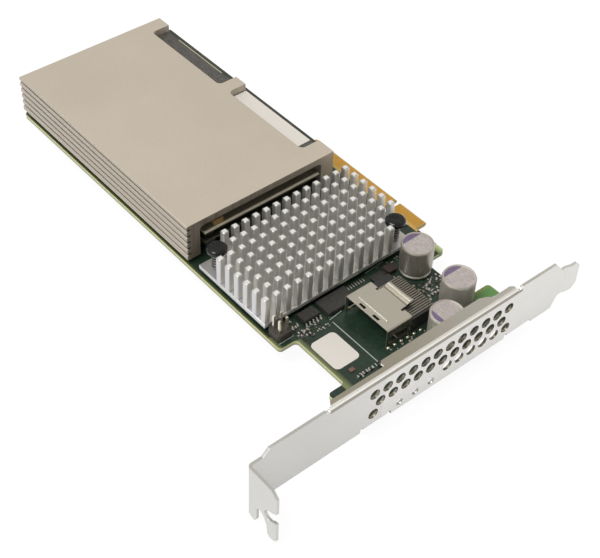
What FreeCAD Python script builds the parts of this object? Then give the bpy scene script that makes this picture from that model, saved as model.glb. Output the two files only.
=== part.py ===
import FreeCAD, Part
import math
import os

from FreeCAD import Vector

# A storage controller card for a PCI Express slot: a low-profile circuit board on a
# full-height vented bracket, with a finned cover over two flash boards, a pin heat sink
# on the controller chip, three can capacitors and one internal cable connector.
#
# The pieces are drawn in the card's own frame, in millimetres: X=0 is the outer face of
# the bracket and +X runs to the board's far end, Y=0 is the outer face of the screw tab
# and the gold edge contacts point to -Y, Z=0 is the component side of the board.
# They are then all moved by one step, so that the origin is under the middle of the card.

# Circuit board
board_thick = 1.57
board_far_x = 167.65
board_near_gap = 1.74
top_edge_drop = 37.14
card_height = 68.2
finger_drop = 4.45
key_centre_x = 58.2
key_width = 1.9
key_depth = 8.25
contact_pitch = 1.0
contact_width = 0.7
contact_length = 3.4
contact_skin = 0.05
contacts_before_key = 11
contacts_after_key = 38
key_to_contact = 1.5
block_margin = 0.65
finger_bevel = 0.5
recess_start_x = 13.1
recess_length = 20.2
recess_depth = 5.95
notch_start_x = 15.6
notch_length = 18.0
notch_depth = 8.15
board_corner_radius = 1.2
hole_clearance = 0.15

# Bracket, folded from one sheet
sheet = 0.86
bend_radius = 0.4
bracket_length = 120.02
face_width = 18.42
face_rise = 14.46
tab_width = 20.0
tab_reach = 10.7
tab_top_drop = 2.16
tab_neck = 4.4
tab_corner_cut = 2.0
tab_slot_points = ((-11.7, 0.45), (-9.6, 0.1), (-8.5, -0.8), (-7.3, -0.8), (-6.5, 0.0), (-6.2, 1.0),
                   (-6.5, 2.1), (-7.5, 2.9), (-9.0, 3.4), (-10.7, 4.5), (-11.7, 4.9))
tab_notch_points = ((-2.95, -8.7), (-2.95, -2.0), (-3.3, -1.0), (-3.8, -0.6), (-4.3, -0.5),
                    (-5.0, -0.8), (-5.6, -1.3), (-6.3, -2.4), (-6.95, -3.6), (-7.2, -5.2),
                    (-7.35, -6.9), (-7.4, -8.7))
tab_prong_points = ((-7.2, -6.9), (-8.0, -7.55), (-8.3, -7.7), (-8.3, -8.7), (-7.2, -8.7))
tab_tip_points = ((-8.7, -7.7), (-10.2, -7.2), (-10.7, -6.7), (-11.7, -5.7), (-11.7, -8.7), (-8.7, -8.7))
tab_foot_points = ((2.0, -6.3), (0.9, -6.3), (-0.3, -6.5), (-1.2, -7.1), (-1.9, -7.3), (-2.5, -6.9),
                   (-3.0, -5.9), (-3.2, -5.9), (-3.2, -8.7), (2.0, -8.7))
tongue_width = 10.19
tongue_length = 10.42
tongue_taper = 3.4
tongue_jog = 0.55
tongue_jog_back = 5.42
tongue_jog_length = 1.8
tongue_corner_cut = 1.6
flange_start = 26.2
flange_end_back = 26.02
flange_narrow = 2.4
flange_wide = 4.3
flange_wide_start = 46.3
flange_wide_end_back = 33.62
relief_radius = 0.75
vent_diameter = 3.4
vent_pitch = 4.53
vent_first_y = 41.55
vent_first_drop = 5.7
vent_count = 12
small_vent_diameter = 2.4
small_vent_first_y = 51.3
small_vent_pitch = 5.8
small_vent_drop = 15.9
ear_width = 8.5
ear_step_reach = 2.6
ear_reach = 11.6
ear_upright = 1.5
ear_notch_width = 1.2
ear_notch_height = 1.3
ear_top_inset = 5.66
ear_low_inset = 3.69
ear_screw_reach = 8.2
ear_screw_radius = 1.25
ear_screw_head_radius = 2.5
ear_screw_head_height = 1.6
ear_screw_spare = 1.0

# Finned cover over the flash boards
cover_near_x = 76.0
cover_width = 55.8
cover_top = 14.65
cover_plate = 2.35
cover_wall = 4.75
cover_lift = 1.4
cover_inset = 0.0
fin_count = 6
fin_pitch = 2.34
fin_gap = 0.64
fin_depth = 1.5
fin_nose_radius = 0.45
first_fin = 1.3
cover_edge_radius = 0.3
cover_inner_radius = 1.5
window_depth = 7.0
near_foot = 7.0
middle_foot = 5.0
far_foot = 5.5
window_near_length = 36.6
window_corner_radius = 1.6
cover_screw_radius = 1.0
cover_screw_depth = 4.5
cover_screw_head_radius = 1.9
cover_screw_head_height = 1.2
cover_spacer_wall = 0.9

# Flash boards, chips and pads under the cover
module_board_thick = 0.8
module_left_gap = 2.0
module_right_gap = 0.6
module_end_gap = 0.3
module_strip_gap = 0.5
lower_module_z = 4.3
upper_module_z = 7.6
upper_module_overhang = 4.1
module_window_gap = 1.0
flash_chip_length = 14.0
flash_chip_width = 13.6
flash_chip_height = 1.5
flash_chip_spread = 8.75
flash_row_pitch = 15.9
pad_side_inset = 0.6
pad_end_reach = 1.0
pad_foot_gap = 0.3
pad_plate_gap = 0.15
pad_window_reach = 6.9
label_skin = 0.1
module_label_under = 5.0
module_label_inset = 3.9
module_capacitor_at = (78.6, 49.7)
module_capacitor_length = 3.5
module_capacitor_width = 2.8
module_capacitor_height = 1.9
module_screw_radius = 1.0
module_screw_inset = 4.2
module_spacer_radius = 2.1
module_connector_width = 5.2
module_connector_length = 26.0
memory_chip_length = 9.0
memory_chip_width = 13.2
memory_chip_height = 1.2
memory_chip_count = 4
memory_chip_pitch = 15.0

# Controller chip and its pin heat sink
chip_side = 27.0
chip_lid_side = 22.0
chip_base_height = 1.1
chip_height = 1.6
chip_pad = 0.2
sink_near_x = 40.65
sink_top_y = 37.65
sink_base = 1.5
pin_height = 9.2
pin_side = 1.95
pin_pitch_x = 4.06
pin_pitch_y = 3.857
pin_rows = 8
pin_columns = 15
sink_far_margin = 0.1
push_pin_inset = 3.8
push_pin_shaft_radius = 1.05
push_pin_head_radius = 3.1
push_pin_head_height = 1.4
push_pin_spring_room = 6.5
push_pin_barb_radius = 1.5
push_pin_barb_length = 2.6
push_pin_slit = 0.5
push_pin_run = 0.15
spring_wire_radius = 0.22
spring_radius = 1.4
spring_turns = 6.0

# Can capacitors
can_radius = 5.0
can_height = 10.45
can_lip_radius = 4.75
can_groove_radius = 4.45
can_rim_width = 0.6
can_rim_sink = 0.3
can_foot = 0.25
seal_radius = 4.2
lead_radius = 0.3
lead_spacing = 5.0
lead_below = 1.2
can_centres = ((33.2, 0.74868), (16.15, 0.74575), (8.3, 0.56393))

# Cable connector, mouth towards the card's top edge
shell_near_x = 15.9
shell_width = 17.5
shell_height = 6.2
shell_front_down = 0.34839
shell_depth = 9.3
shell_sheet = 0.3
shell_back_width = 9.4
shell_crest = ((1.2, 0.0), (1.8, 0.15), (2.5, 0.55), (3.1, 0.75), (3.7, 0.7), (4.3, 0.35), (4.5, -0.1))
shell_crest_under = ((4.2, -0.1), (4.05, 0.15), (3.6, 0.4), (3.1, 0.45), (2.6, 0.27), (1.9, -0.13),
                     (1.2, -0.3))
shell_floor_start = 4.5
shell_window_low = 0.5
shell_window_high = 3.0
shell_slot_length = 2.4
shell_slot_width = 0.9
shell_slot_spread = 5.6
shell_bead_radius = 0.28
shell_peg_width = 0.9
shell_peg_below = 1.0
housing_front = 4.3
housing_back_depth = 16.6
housing_height = 4.7
housing_slot = 1.2
housing_bar_height = 3.2
housing_side_gap = 0.05
tail_pitch = 0.8
tail_count = 18
tail_width = 0.4
tail_thick = 0.22
tail_side_step = -0.9
tail_upper_start = 0.7
tail_upper_reach = 1.7
tail_lower_reach = 0.5
tail_lower_z = 1.7
tail_slope = 0.8
tail_foot = 0.9

# Pin header
header_pitch = 2.54
header_centre_x = 37.64
header_top_inset = 3.6
header_base = 2.5
header_pin_side = 0.64
header_pin_top = 7.5
header_pin_below = 1.4
header_corner_cut = 0.6

# Small parts on the board
outline_chip_length = 6.0
outline_chip_width = 3.9
outline_chip_height = 1.55
outline_chip_lift = 0.1
outline_chip_at = (37.9, 0.20616)
outline_lead_pitch = 1.27
outline_lead_count = 5
outline_lead_width = 0.45
bridge_chip_length = 11.0
bridge_chip_width = 6.2
bridge_chip_height = 1.5
bridge_chip_at = (37.1, 0.34985)
lead_foot = 0.6
lead_out = 1.0
lead_strip = 0.18
coil_length = 3.4
coil_width = 3.0
coil_height = 1.4
coil_corner_cut = 0.4
coil_at = (37.4, 0.65777)
terminal_skin = 0.12
terminal_length = 0.8
small_part_length = 1.6
small_part_width = 0.8
small_part_height = 0.5
small_part_end = 0.35
resistor_spots = ((24.9, 0.6915), (22.4, 0.6915), (26.2, 0.78974), (22.6, 0.78827),
                  (48.8, 0.90557), (34.6, 0.12405), (32.6, 0.14311),
                  (12.4, 0.15924), (12.4, 0.18856), (12.4, 0.21789))
chip_capacitor_spots = ((26.3, 0.72962), (22.4, 0.72669), (51.6, 0.90557), (34.2, 0.14897),
                        (36.8, 0.11818), (39.4, 0.11818), (10.6, 0.27067))
tail_part_gap = 0.8
tail_part_xs = (21.2, 26.0, 28.2)
board_label_length = 11.9
board_label_width = 8.9
board_label_radius = 1.6
board_label_at = (23.55, 0.17097)


def down_card(share):
    """How far down from the tab's outer face a share of the card's height lies."""
    return top_edge_drop + share * card_height


# Places that follow from the sizes above
board_near_x = sheet + board_near_gap
board_top_y = -top_edge_drop
finger_y = board_top_y - card_height
board_low_y = finger_y + finger_drop
board_under = -board_thick
face_top = face_rise
face_low = face_rise - face_width
tab_top = face_top - tab_top_drop
tab_low = tab_top - tab_width
tongue_top = face_low + (face_width + tongue_width) / 2
tongue_low = tongue_top - tongue_width
tongue_start = bracket_length - tongue_length
tongue_jog_start = bracket_length - tongue_jog_back
flange_end = bracket_length - flange_end_back
flange_wide_end = bracket_length - flange_wide_end_back
ear_centres_y = (top_edge_drop + ear_top_inset, -board_low_y - ear_low_inset)
short_block_near_x = key_centre_x - key_to_contact - (contacts_before_key - 1) * contact_pitch - block_margin
long_block_far_x = key_centre_x + key_to_contact + (contacts_after_key - 1) * contact_pitch + block_margin
cover_far_x = board_far_x - cover_inset
cover_left_y = board_top_y
cover_right_y = cover_left_y - cover_width
plate_under = cover_top - cover_plate
foot_inner_y = cover_right_y + cover_wall
window_inner_y = cover_right_y + window_depth
window_near = (cover_near_x + near_foot, cover_near_x + near_foot + window_near_length)
window_far = (window_near[1] + middle_foot, cover_far_x - far_foot)
module_near_x = cover_near_x + module_end_gap
module_far_x = cover_far_x - module_end_gap
module_left_y = cover_left_y - cover_wall - module_left_gap
module_right_y = foot_inner_y + module_right_gap
module_out_y = cover_right_y - upper_module_overhang
lower_module_top = lower_module_z + module_board_thick
upper_module_top = upper_module_z + module_board_thick
pad_top = plate_under - pad_plate_gap - label_skin
sink_low = chip_height + chip_pad
sink_floor = sink_low + sink_base
sink_length = (pin_rows - 1) * pin_pitch_x + pin_side
sink_width = (pin_columns - 1) * pin_pitch_y + pin_side
sink_far_x = sink_near_x + sink_length + sink_far_margin
sink_centre_x = sink_near_x + sink_length / 2
sink_centre_y = -(sink_top_y + sink_width / 2)
head_under = sink_floor + push_pin_spring_room
shell_far_x = shell_near_x + shell_width
shell_middle_x = shell_near_x + shell_width / 2
shell_front = -down_card(shell_front_down)
shell_back_y = shell_front - shell_depth
housing_back_y = shell_front - housing_back_depth
tail_end_y = housing_back_y - tail_upper_reach - tail_slope - tail_foot
header_centre_y = board_top_y - header_top_inset


def box(x0, x1, y0, y1, z0, z1):
    """A block between two corners, given in any order."""
    low = Vector(min(x0, x1), min(y0, y1), min(z0, z1))
    return Part.makeBox(abs(x1 - x0), abs(y1 - y0), abs(z1 - z0), low)


def rod(x, y, z0, z1, radius):
    """An upright cylinder."""
    return Part.makeCylinder(radius, z1 - z0, Vector(x, y, z0))


def prism(points, start, axis, length):
    """A closed outline in the plane across an axis, pushed along that axis."""
    corners = []
    for a, b in points:
        if axis == "x":
            corners.append(Vector(start, a, b))
        elif axis == "y":
            corners.append(Vector(a, start, b))
        else:
            corners.append(Vector(a, b, start))
    push = {"x": Vector(length, 0, 0), "y": Vector(0, length, 0), "z": Vector(0, 0, length)}[axis]
    wire = Part.makePolygon(corners + [corners[0]])
    return Part.Face(wire).extrude(push)


def edges_along(shape, axis, spots, reach=0.02):
    """The straight edges along an axis that pass through the given spots."""
    keep = {"x": ("y", "z"), "y": ("x", "z"), "z": ("x", "y")}[axis]
    found = []
    for edge in shape.Edges:
        if len(edge.Vertexes) != 2:
            continue
        a, b = edge.Vertexes[0].Point, edge.Vertexes[1].Point
        if any(abs(getattr(a, name) - getattr(b, name)) > reach for name in keep):
            continue
        for spot in spots:
            if all(abs(getattr(a, name) - value) <= reach for name, value in zip(keep, spot)):
                found.append(edge)
                break
    return found


def joined(shapes):
    """Several overlapping solids as one."""
    return shapes[0].multiFuse(shapes[1:]).removeSplitter()


def cut_all(shape, tools):
    """A solid less a list of others."""
    return shape.cut(Part.makeCompound(tools))


# Places of what passes through the board

def push_pin_places():
    """The two pins stand in the corners that the sink's pin field leaves bare."""
    far = (sink_far_x - push_pin_inset, -(sink_top_y + push_pin_inset))
    near = (sink_near_x + push_pin_inset, -(sink_top_y + sink_width - push_pin_inset))
    return [far, near]


def cover_screw_places():
    """Three screws up into the long wall and one up into each foot."""
    wall_y = cover_left_y - (cover_wall + fin_depth) / 2
    foot_y = (cover_right_y + foot_inner_y) / 2
    middle_x = window_near[1] + middle_foot / 2
    near_x = cover_near_x + near_foot / 2
    far_x = cover_far_x - far_foot / 2
    return [(x, y) for x in (near_x, middle_x, far_x) for y in (wall_y, foot_y)]


def module_screw_places():
    """The four corners of the flash boards."""
    xs = (module_near_x + module_screw_inset, module_far_x - module_screw_inset)
    ys = (module_left_y - module_screw_inset, module_right_y + module_screw_inset)
    return [(x, y) for x in xs for y in ys]


def bracket_screw_places():
    return [(ear_screw_reach, -y) for y in ear_centres_y]


def can_lead_places():
    places = []
    for x, y in can_centres:
        places.append((x - lead_spacing / 2, -down_card(y)))
        places.append((x + lead_spacing / 2, -down_card(y)))
    return places


def header_pin_places():
    half = header_pitch / 2
    return [(header_centre_x + i * half, header_centre_y + j * half) for i in (-1, 1) for j in (-1, 1)]


def shell_peg_places():
    inset = shell_sheet / 2
    ys = (shell_front - 2.0, shell_back_y + 1.6)
    return [(x, y) for x in (shell_near_x + inset, shell_far_x - inset) for y in ys]


# Circuit board

def circuit_board():
    """The laminate with its edge-connector blocks, key slot, recess, notch and drilled holes."""
    key_near = key_centre_x - key_width / 2
    key_far = key_centre_x + key_width / 2
    key_top = finger_y + key_depth
    recess_y = board_top_y - recess_depth
    notch_y = board_low_y + notch_depth
    recess_far = recess_start_x + recess_length
    notch_far = notch_start_x + notch_length
    outline = [(board_near_x, board_top_y), (recess_start_x, board_top_y), (recess_start_x, recess_y),
               (recess_far, recess_y), (recess_far, board_top_y), (board_far_x, board_top_y),
               (board_far_x, board_low_y), (long_block_far_x, board_low_y), (long_block_far_x, finger_y),
               (key_far, finger_y), (key_far, key_top), (key_near, key_top), (key_near, finger_y),
               (short_block_near_x, finger_y), (short_block_near_x, board_low_y),
               (notch_far, board_low_y), (notch_far, notch_y), (notch_start_x, notch_y),
               (notch_start_x, board_low_y), (board_near_x, board_low_y)]
    board = prism(outline, board_under, "z", board_thick)
    rounded = [(board_near_x, board_top_y), (recess_start_x, board_top_y), (recess_start_x, recess_y),
               (recess_far, recess_y), (recess_far, board_top_y), (board_far_x, board_top_y),
               (board_far_x, board_low_y), (notch_far, board_low_y), (notch_far, notch_y),
               (notch_start_x, notch_y), (notch_start_x, board_low_y), (board_near_x, board_low_y)]
    board = board.makeFillet(board_corner_radius, edges_along(board, "z", rounded))
    bevels = []
    for z, step in ((0.0, -1), (board_under, 1)):
        wedge = [(finger_y - 1, z + step * -0.1), (finger_y - 1, z + step * 2 * finger_bevel),
                 (finger_y, z + step * finger_bevel), (finger_y + finger_bevel * 1.4, z),
                 (finger_y + finger_bevel * 1.4, z + step * -0.1)]
        bevels.append(prism(wedge, short_block_near_x - 1, "x", long_block_far_x - short_block_near_x + 2))
    holes = []
    drilled = [(bracket_screw_places(), ear_screw_radius + hole_clearance),
               (push_pin_places(), push_pin_shaft_radius + push_pin_run),
               (cover_screw_places(), cover_screw_radius + hole_clearance),
               (module_screw_places(), module_screw_radius + hole_clearance),
               (can_lead_places(), lead_radius + hole_clearance),
               (header_pin_places(), header_pin_side * 0.71 + hole_clearance),
               (shell_peg_places(), shell_peg_width / 2 + hole_clearance)]
    for places, radius in drilled:
        for x, y in places:
            holes.append(rod(x, y, board_under - 1, 1, radius))
    return cut_all(board, bevels + holes)


def edge_contacts(side):
    """The row of gold contact pads on one side of the edge connector."""
    top = finger_y + finger_bevel * 1.4 + contact_length
    low = finger_y + finger_bevel * 1.4
    z0, z1 = (0.0, contact_skin) if side == "top" else (board_under - contact_skin, board_under)
    pads = []
    for i in range(contacts_before_key):
        x = key_centre_x - key_to_contact - i * contact_pitch
        pads.append(box(x - contact_width / 2, x + contact_width / 2, low, top, z0, z1))
    for i in range(contacts_after_key):
        x = key_centre_x + key_to_contact + i * contact_pitch
        pads.append(box(x - contact_width / 2, x + contact_width / 2, low, top, z0, z1))
    return Part.makeCompound(pads)


# Bracket

def bracket_strip():
    """The sheet seen from its edge: tongue with its jog, face, bend and screw tab."""
    end = -bracket_length
    jog = -tongue_jog_start
    jog_end = jog - tongue_jog_length
    outline = [(-tab_reach, 0), (sheet, 0), (sheet, jog), (sheet - tongue_jog, jog_end),
               (sheet - tongue_jog, end), (-tongue_jog, end), (-tongue_jog, jog_end), (0, jog),
               (0, -sheet), (-tab_reach, -sheet)]
    strip = prism(outline, tab_low, "z", face_top - tab_low)
    strip = strip.makeFillet(bend_radius + sheet, edges_along(strip, "z", [(sheet, 0)]))
    return strip.makeFillet(bend_radius, edges_along(strip, "z", [(0, -sheet)]))


def bracket_face_outline():
    """The face seen from outside: necked at the tab, tapered down to the tongue."""
    tongue_at = -(tongue_start + tongue_taper)
    end = -bracket_length
    cut = tongue_corner_cut
    neck = -tab_neck
    ramp = neck - tab_top_drop
    return [(1, tab_top), (neck, tab_top), (ramp, face_top), (-tongue_start, face_top),
            (tongue_at, tongue_top), (end + cut, tongue_top), (end, tongue_top - cut),
            (end, tongue_low + cut), (end + cut, tongue_low), (tongue_at, tongue_low),
            (-tongue_start - 1.4, face_low), (-sheet - bend_radius, face_low),
            (-sheet - bend_radius, tab_low), (1, tab_low)]


def tab_cuts():
    """The slot for the chassis screw, the notch beside it and the shaped corners."""
    deep = 2 * sheet + bend_radius
    cut = tab_corner_cut
    upper = [(-tab_reach - 1, tab_top + 1), (-tab_reach + cut + 1, tab_top + 1),
             (-tab_reach - 1, tab_top - cut - 1)]
    outlines = [tab_slot_points, tab_notch_points, tab_prong_points, tab_tip_points, tab_foot_points, upper]
    return [prism(points, 0.5, "y", -deep) for points in outlines]


def bracket_flange():
    """The stiffening fold along the top edge, wide over the vents and narrow beside them."""
    top, low = face_top, face_top - sheet
    narrow = prism([(0, -flange_start), (flange_narrow, -flange_start - 1.6),
                    (flange_narrow, -flange_end + 1.0), (flange_narrow - 0.8, -flange_end), (0, -flange_end)],
                   low, "z", sheet)
    wide = prism([(0, -flange_wide_start), (flange_wide - 0.6, -flange_wide_start),
                  (flange_wide, -flange_wide_start - 0.6), (flange_wide, -flange_wide_end + 3.4),
                  (flange_wide - 0.9, -flange_wide_end + 1.3), (flange_narrow, -flange_wide_end),
                  (0, -flange_wide_end)], low, "z", sheet)
    corner = box(sheet, sheet + bend_radius, -flange_start - 1.6, -flange_end + 1.0, low - bend_radius, low)
    hollow = Part.makeCylinder(bend_radius, flange_end, Vector(sheet + bend_radius, 0, low - bend_radius),
                               Vector(0, -1, 0))
    return [narrow, wide, corner.cut(hollow)], top


def bracket_ear(centre_y):
    """An ear folded in from the face's lower edge, with a step up to the board's solder side."""
    upper, lower = board_under, board_under - sheet
    floor = face_low
    step_near = sheet + ear_step_reach - (lower - floor)
    step_far = sheet + ear_step_reach
    slant = sheet * 0.41
    outline = [(0, floor), (step_near + slant, floor), (step_far + slant, lower), (ear_reach, lower),
               (ear_reach, upper), (step_far, upper), (step_near, floor + sheet), (sheet, floor + sheet),
               (sheet, floor + ear_upright), (0, floor + ear_upright)]
    ear = prism(outline, centre_y - ear_width / 2, "y", ear_width)
    ear = ear.makeFillet(bend_radius + sheet, edges_along(ear, "y", [(0, floor)]))
    return ear.makeFillet(bend_radius, edges_along(ear, "y", [(sheet, floor + sheet)]))


def ear_relief(centre_y):
    """What the face loses at an ear: the ear's own width and a notch on both sides of it."""
    half = ear_width / 2 + ear_notch_width
    return box(-1, sheet + 1, centre_y - half, centre_y + half, face_low - 1, face_low + ear_notch_height)


def vent_places():
    """The three staggered rows of round vents, and the three small holes under them."""
    rows = []
    row_step = vent_pitch * math.sin(math.radians(60))
    top_row = face_top - vent_first_drop
    for i in range(vent_count):
        rows.append((-(vent_first_y + i * vent_pitch), top_row, vent_diameter / 2))
    for i in range(vent_count - 1):
        rows.append((-(vent_first_y + (i + 0.5) * vent_pitch), top_row - row_step, vent_diameter / 2))
    for i in range(vent_count):
        if i == 0 or i >= vent_count // 2:
            rows.append((-(vent_first_y + i * vent_pitch), top_row - 2 * row_step, vent_diameter / 2))
    for i in range(3):
        rows.append((-(small_vent_first_y + i * small_vent_pitch), face_top - small_vent_drop,
                     small_vent_diameter / 2))
    return rows


def flange_fold(top):
    """The sliver outside the flange's bend, so that the fold is round from outside."""
    outer = bend_radius + sheet
    square = box(-1, outer, -flange_start, -flange_end, top - outer, top + 1)
    arc = Part.makeCylinder(outer, flange_end - flange_start, Vector(outer, -flange_start, top - outer),
                            Vector(0, -1, 0))
    return square.cut(arc)


def bracket():
    face_limit = prism(bracket_face_outline(), -tab_reach - 1, "x", tab_reach + 4)
    body = bracket_strip().common(face_limit)
    body = cut_all(body, [ear_relief(-y) for y in ear_centres_y])
    plates, top = bracket_flange()
    ears = [bracket_ear(-y) for y in ear_centres_y]
    body = joined([body] + plates + ears).cut(flange_fold(top))
    tools = tab_cuts()
    for y, z, radius in vent_places():
        tools.append(Part.makeCylinder(radius, 3 * sheet, Vector(-sheet, y, z), Vector(1, 0, 0)))
    for y in (-flange_start + relief_radius, -flange_end - relief_radius):
        tools.append(Part.makeCylinder(relief_radius, 4 * sheet, Vector(-sheet, y, top), Vector(1, 0, 0)))
    for x, y in bracket_screw_places():
        tools.append(rod(x, y, face_low - 1, 1, ear_screw_radius))
    return cut_all(body, tools)


def bracket_screws():
    """Pan-head screws down through the board into the tapped ears."""
    screws = []
    for x, y in bracket_screw_places():
        head = rod(x, y, 0, ear_screw_head_height, ear_screw_head_radius)
        crown = [edge for edge in head.Edges if abs(edge.BoundBox.ZMin - ear_screw_head_height) < 0.01
                 and edge.Length > 3]
        head = head.makeFillet(ear_screw_head_height * 0.6, crown)
        shank = rod(x, y, board_under - sheet - ear_screw_spare, 0.2, ear_screw_radius)
        arm = ear_screw_head_radius * 0.55
        low, high = ear_screw_head_height - 0.9, ear_screw_head_height + 1
        cross = box(x - arm, x + arm, y - 0.35, y + 0.35, low, high)
        cross = cross.fuse(box(x - 0.35, x + 0.35, y - arm, y + arm, low, high))
        screws.append(head.fuse(shank).cut(cross))
    return Part.makeCompound(screws)


# Cover and what it holds

def fin_outline():
    """Left side of the cover's section, from the lowest fin up to the top corner."""
    root_y = cover_left_y - fin_depth
    points = [(cover_left_y, cover_lift)]
    for i in range(fin_count - 1, 0, -1):
        top = cover_top - first_fin - fin_gap - (i - 1) * fin_pitch
        points += [(cover_left_y, top), (root_y, top), (root_y, top + fin_gap), (cover_left_y, top + fin_gap)]
    points.append((cover_left_y, cover_top))
    return points


def flash_cover():
    """One extruded lid: plate, finned long wall, and the other wall milled down to three feet."""
    inner_left = cover_left_y - cover_wall
    outline = [(inner_left, cover_lift)] + fin_outline()
    outline += [(cover_right_y, cover_top), (cover_right_y, cover_lift), (foot_inner_y, cover_lift),
                (foot_inner_y, plate_under), (inner_left, plate_under)]
    lid = prism(outline, cover_near_x, "x", cover_far_x - cover_near_x)
    inside = edges_along(lid, "x", [(foot_inner_y, plate_under), (inner_left, plate_under)])
    lid = lid.makeFillet(cover_inner_radius, inside)
    noses = [(y, z) for y, z in fin_outline() if y == cover_left_y and z < cover_top]
    lid = lid.makeFillet(fin_nose_radius, edges_along(lid, "x", noses))
    lid = lid.makeFillet(cover_edge_radius, edges_along(lid, "x", [(cover_left_y, cover_top)]))
    tools = []
    for near, far in (window_near, window_far):
        window = box(near, far, cover_right_y - 1, window_inner_y, cover_lift - 1, cover_top + 1)
        corners = edges_along(window, "z", [(near, window_inner_y), (far, window_inner_y)])
        tools.append(window.makeFillet(window_corner_radius, corners))
    for x, y in cover_screw_places():
        tools.append(rod(x, y, cover_lift - 1, cover_lift + cover_screw_depth, cover_screw_radius))
    return cut_all(lid, tools)


def cover_spacers():
    """Short tubes that hold the cover off the board."""
    outer = cover_screw_radius + cover_spacer_wall
    bore = cover_screw_radius + hole_clearance
    return Part.makeCompound([rod(x, y, 0, cover_lift, outer).cut(rod(x, y, -1, cover_lift + 1, bore))
                              for x, y in cover_screw_places()])


def cover_screws():
    """Screws up through the board and the spacers into the cover's walls."""
    screws = []
    for x, y in cover_screw_places():
        under = board_under - cover_screw_head_height
        head = rod(x, y, under, board_under, cover_screw_head_radius)
        shank = rod(x, y, board_under - 0.2, cover_lift + cover_screw_depth - 0.5, cover_screw_radius)
        socket = rod(x, y, under - 1, under + cover_screw_head_height * 0.6, cover_screw_head_radius * 0.45)
        screws.append(head.fuse(shank).cut(socket))
    return Part.makeCompound(screws)


def upper_module_board():
    """The upper flash board: out through both windows, with a strip that runs on past the feet."""
    gap = module_window_gap
    strip_y = cover_right_y - module_strip_gap
    far_x = window_far[1] - gap
    near_x = window_near[0] + gap
    outline = [(module_near_x, module_left_y), (module_far_x, module_left_y), (module_far_x, module_right_y),
               (far_x, module_right_y), (far_x, strip_y), (module_far_x, strip_y),
               (module_far_x, module_out_y), (near_x, module_out_y), (near_x, module_right_y),
               (module_near_x, module_right_y)]
    board = prism(outline, upper_module_z, "z", module_board_thick)
    return board.cut(box(window_near[1] - gap, window_far[0] + gap, strip_y, module_right_y,
                         upper_module_z - 1, upper_module_top + 1))


def lower_module_board():
    board = box(module_near_x, module_far_x, module_left_y, module_right_y, lower_module_z, lower_module_top)
    holes = [rod(x, y, lower_module_z - 1, lower_module_top + 1, module_screw_radius + hole_clearance)
             for x, y in module_screw_places()]
    return cut_all(board, holes)


def flash_chip_columns():
    columns = []
    for near, far in (window_near, window_far):
        middle = (near + far) / 2
        columns += [middle - flash_chip_spread, middle + flash_chip_spread]
    return columns


def flash_chips(floor, rows):
    """Flat packages in columns under the two windows."""
    chips = []
    first_y = module_left_y - flash_chip_width / 2 - 1.2
    for x in flash_chip_columns():
        for row in range(rows):
            y = first_y - row * flash_row_pitch
            chips.append(box(x - flash_chip_length / 2, x + flash_chip_length / 2,
                             y - flash_chip_width / 2, y + flash_chip_width / 2,
                             floor, floor + flash_chip_height))
    return Part.makeCompound(chips)


def thermal_pad():
    """The grey gap pad between the upper chips and the cover, out to the windows' open side."""
    floor = upper_module_top + flash_chip_height
    gap = pad_foot_gap
    near_x = window_near[0] + pad_end_reach
    far_x = window_far[1] + pad_end_reach
    left = module_left_y - pad_side_inset
    right = module_right_y + pad_side_inset
    out_y = window_inner_y - pad_window_reach
    outline = [(near_x, left), (far_x, left), (far_x, right), (window_far[1] - gap, right),
               (window_far[1] - gap, out_y), (window_far[0] + gap, out_y), (window_far[0] + gap, right),
               (window_near[1] - gap, right), (window_near[1] - gap, out_y), (near_x, out_y)]
    return prism(outline, floor, "z", pad_top - floor)


def module_label():
    """The blank label on the pad, seen through the near window."""
    out_y = window_inner_y - pad_window_reach
    return box(window_near[0] + module_label_inset, window_near[1] - pad_foot_gap,
               out_y, window_inner_y + module_label_under, pad_top, pad_top + label_skin)


def module_capacitor():
    """A moulded chip capacitor on the upper flash board, in the cover's open end."""
    x, y = module_capacitor_at[0], -module_capacitor_at[1]
    half_x, half_y = module_capacitor_width / 2, module_capacitor_length / 2
    high = upper_module_top + module_capacitor_height
    body = box(x - half_x, x + half_x, y - half_y, y + half_y, upper_module_top, high)
    corners = [(x + i * half_x, y + j * half_y) for i in (-1, 1) for j in (-1, 1)]
    return body.makeChamfer(0.2, edges_along(body, "z", corners))


def module_spacers():
    """Threaded sleeves under and between the flash boards, one pair at each corner."""
    sleeves = []
    for x, y in module_screw_places():
        for z0, z1 in ((0, lower_module_z), (lower_module_top, upper_module_z)):
            sleeve = rod(x, y, z0, z1, module_spacer_radius)
            sleeves.append(sleeve.cut(rod(x, y, z0 - 1, z1 + 1, module_screw_radius)))
    return Part.makeCompound(sleeves)


def module_screws():
    """Long screws up through the board, both sleeves and the lower flash board."""
    screws = []
    for x, y in module_screw_places():
        under = board_under - cover_screw_head_height
        head = rod(x, y, under, board_under, cover_screw_head_radius)
        shank = rod(x, y, board_under - 0.2, upper_module_z - 0.3, module_screw_radius)
        socket = rod(x, y, under - 1, under + cover_screw_head_height * 0.6, cover_screw_head_radius * 0.45)
        screws.append(head.fuse(shank).cut(socket))
    return Part.makeCompound(screws)


def module_connectors():
    """Board-to-board connectors, one below each flash board."""
    middle_y = (module_left_y + module_right_y) / 2
    half = module_connector_length / 2
    low_x = module_near_x + 2.0
    high_x = module_far_x - 2.0 - module_connector_width
    lower = box(low_x, low_x + module_connector_width, middle_y - half, middle_y + half, 0, lower_module_z)
    upper = box(high_x, high_x + module_connector_width, middle_y - half, middle_y + half,
                lower_module_top, upper_module_z)
    return Part.makeCompound([lower, upper])


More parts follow.
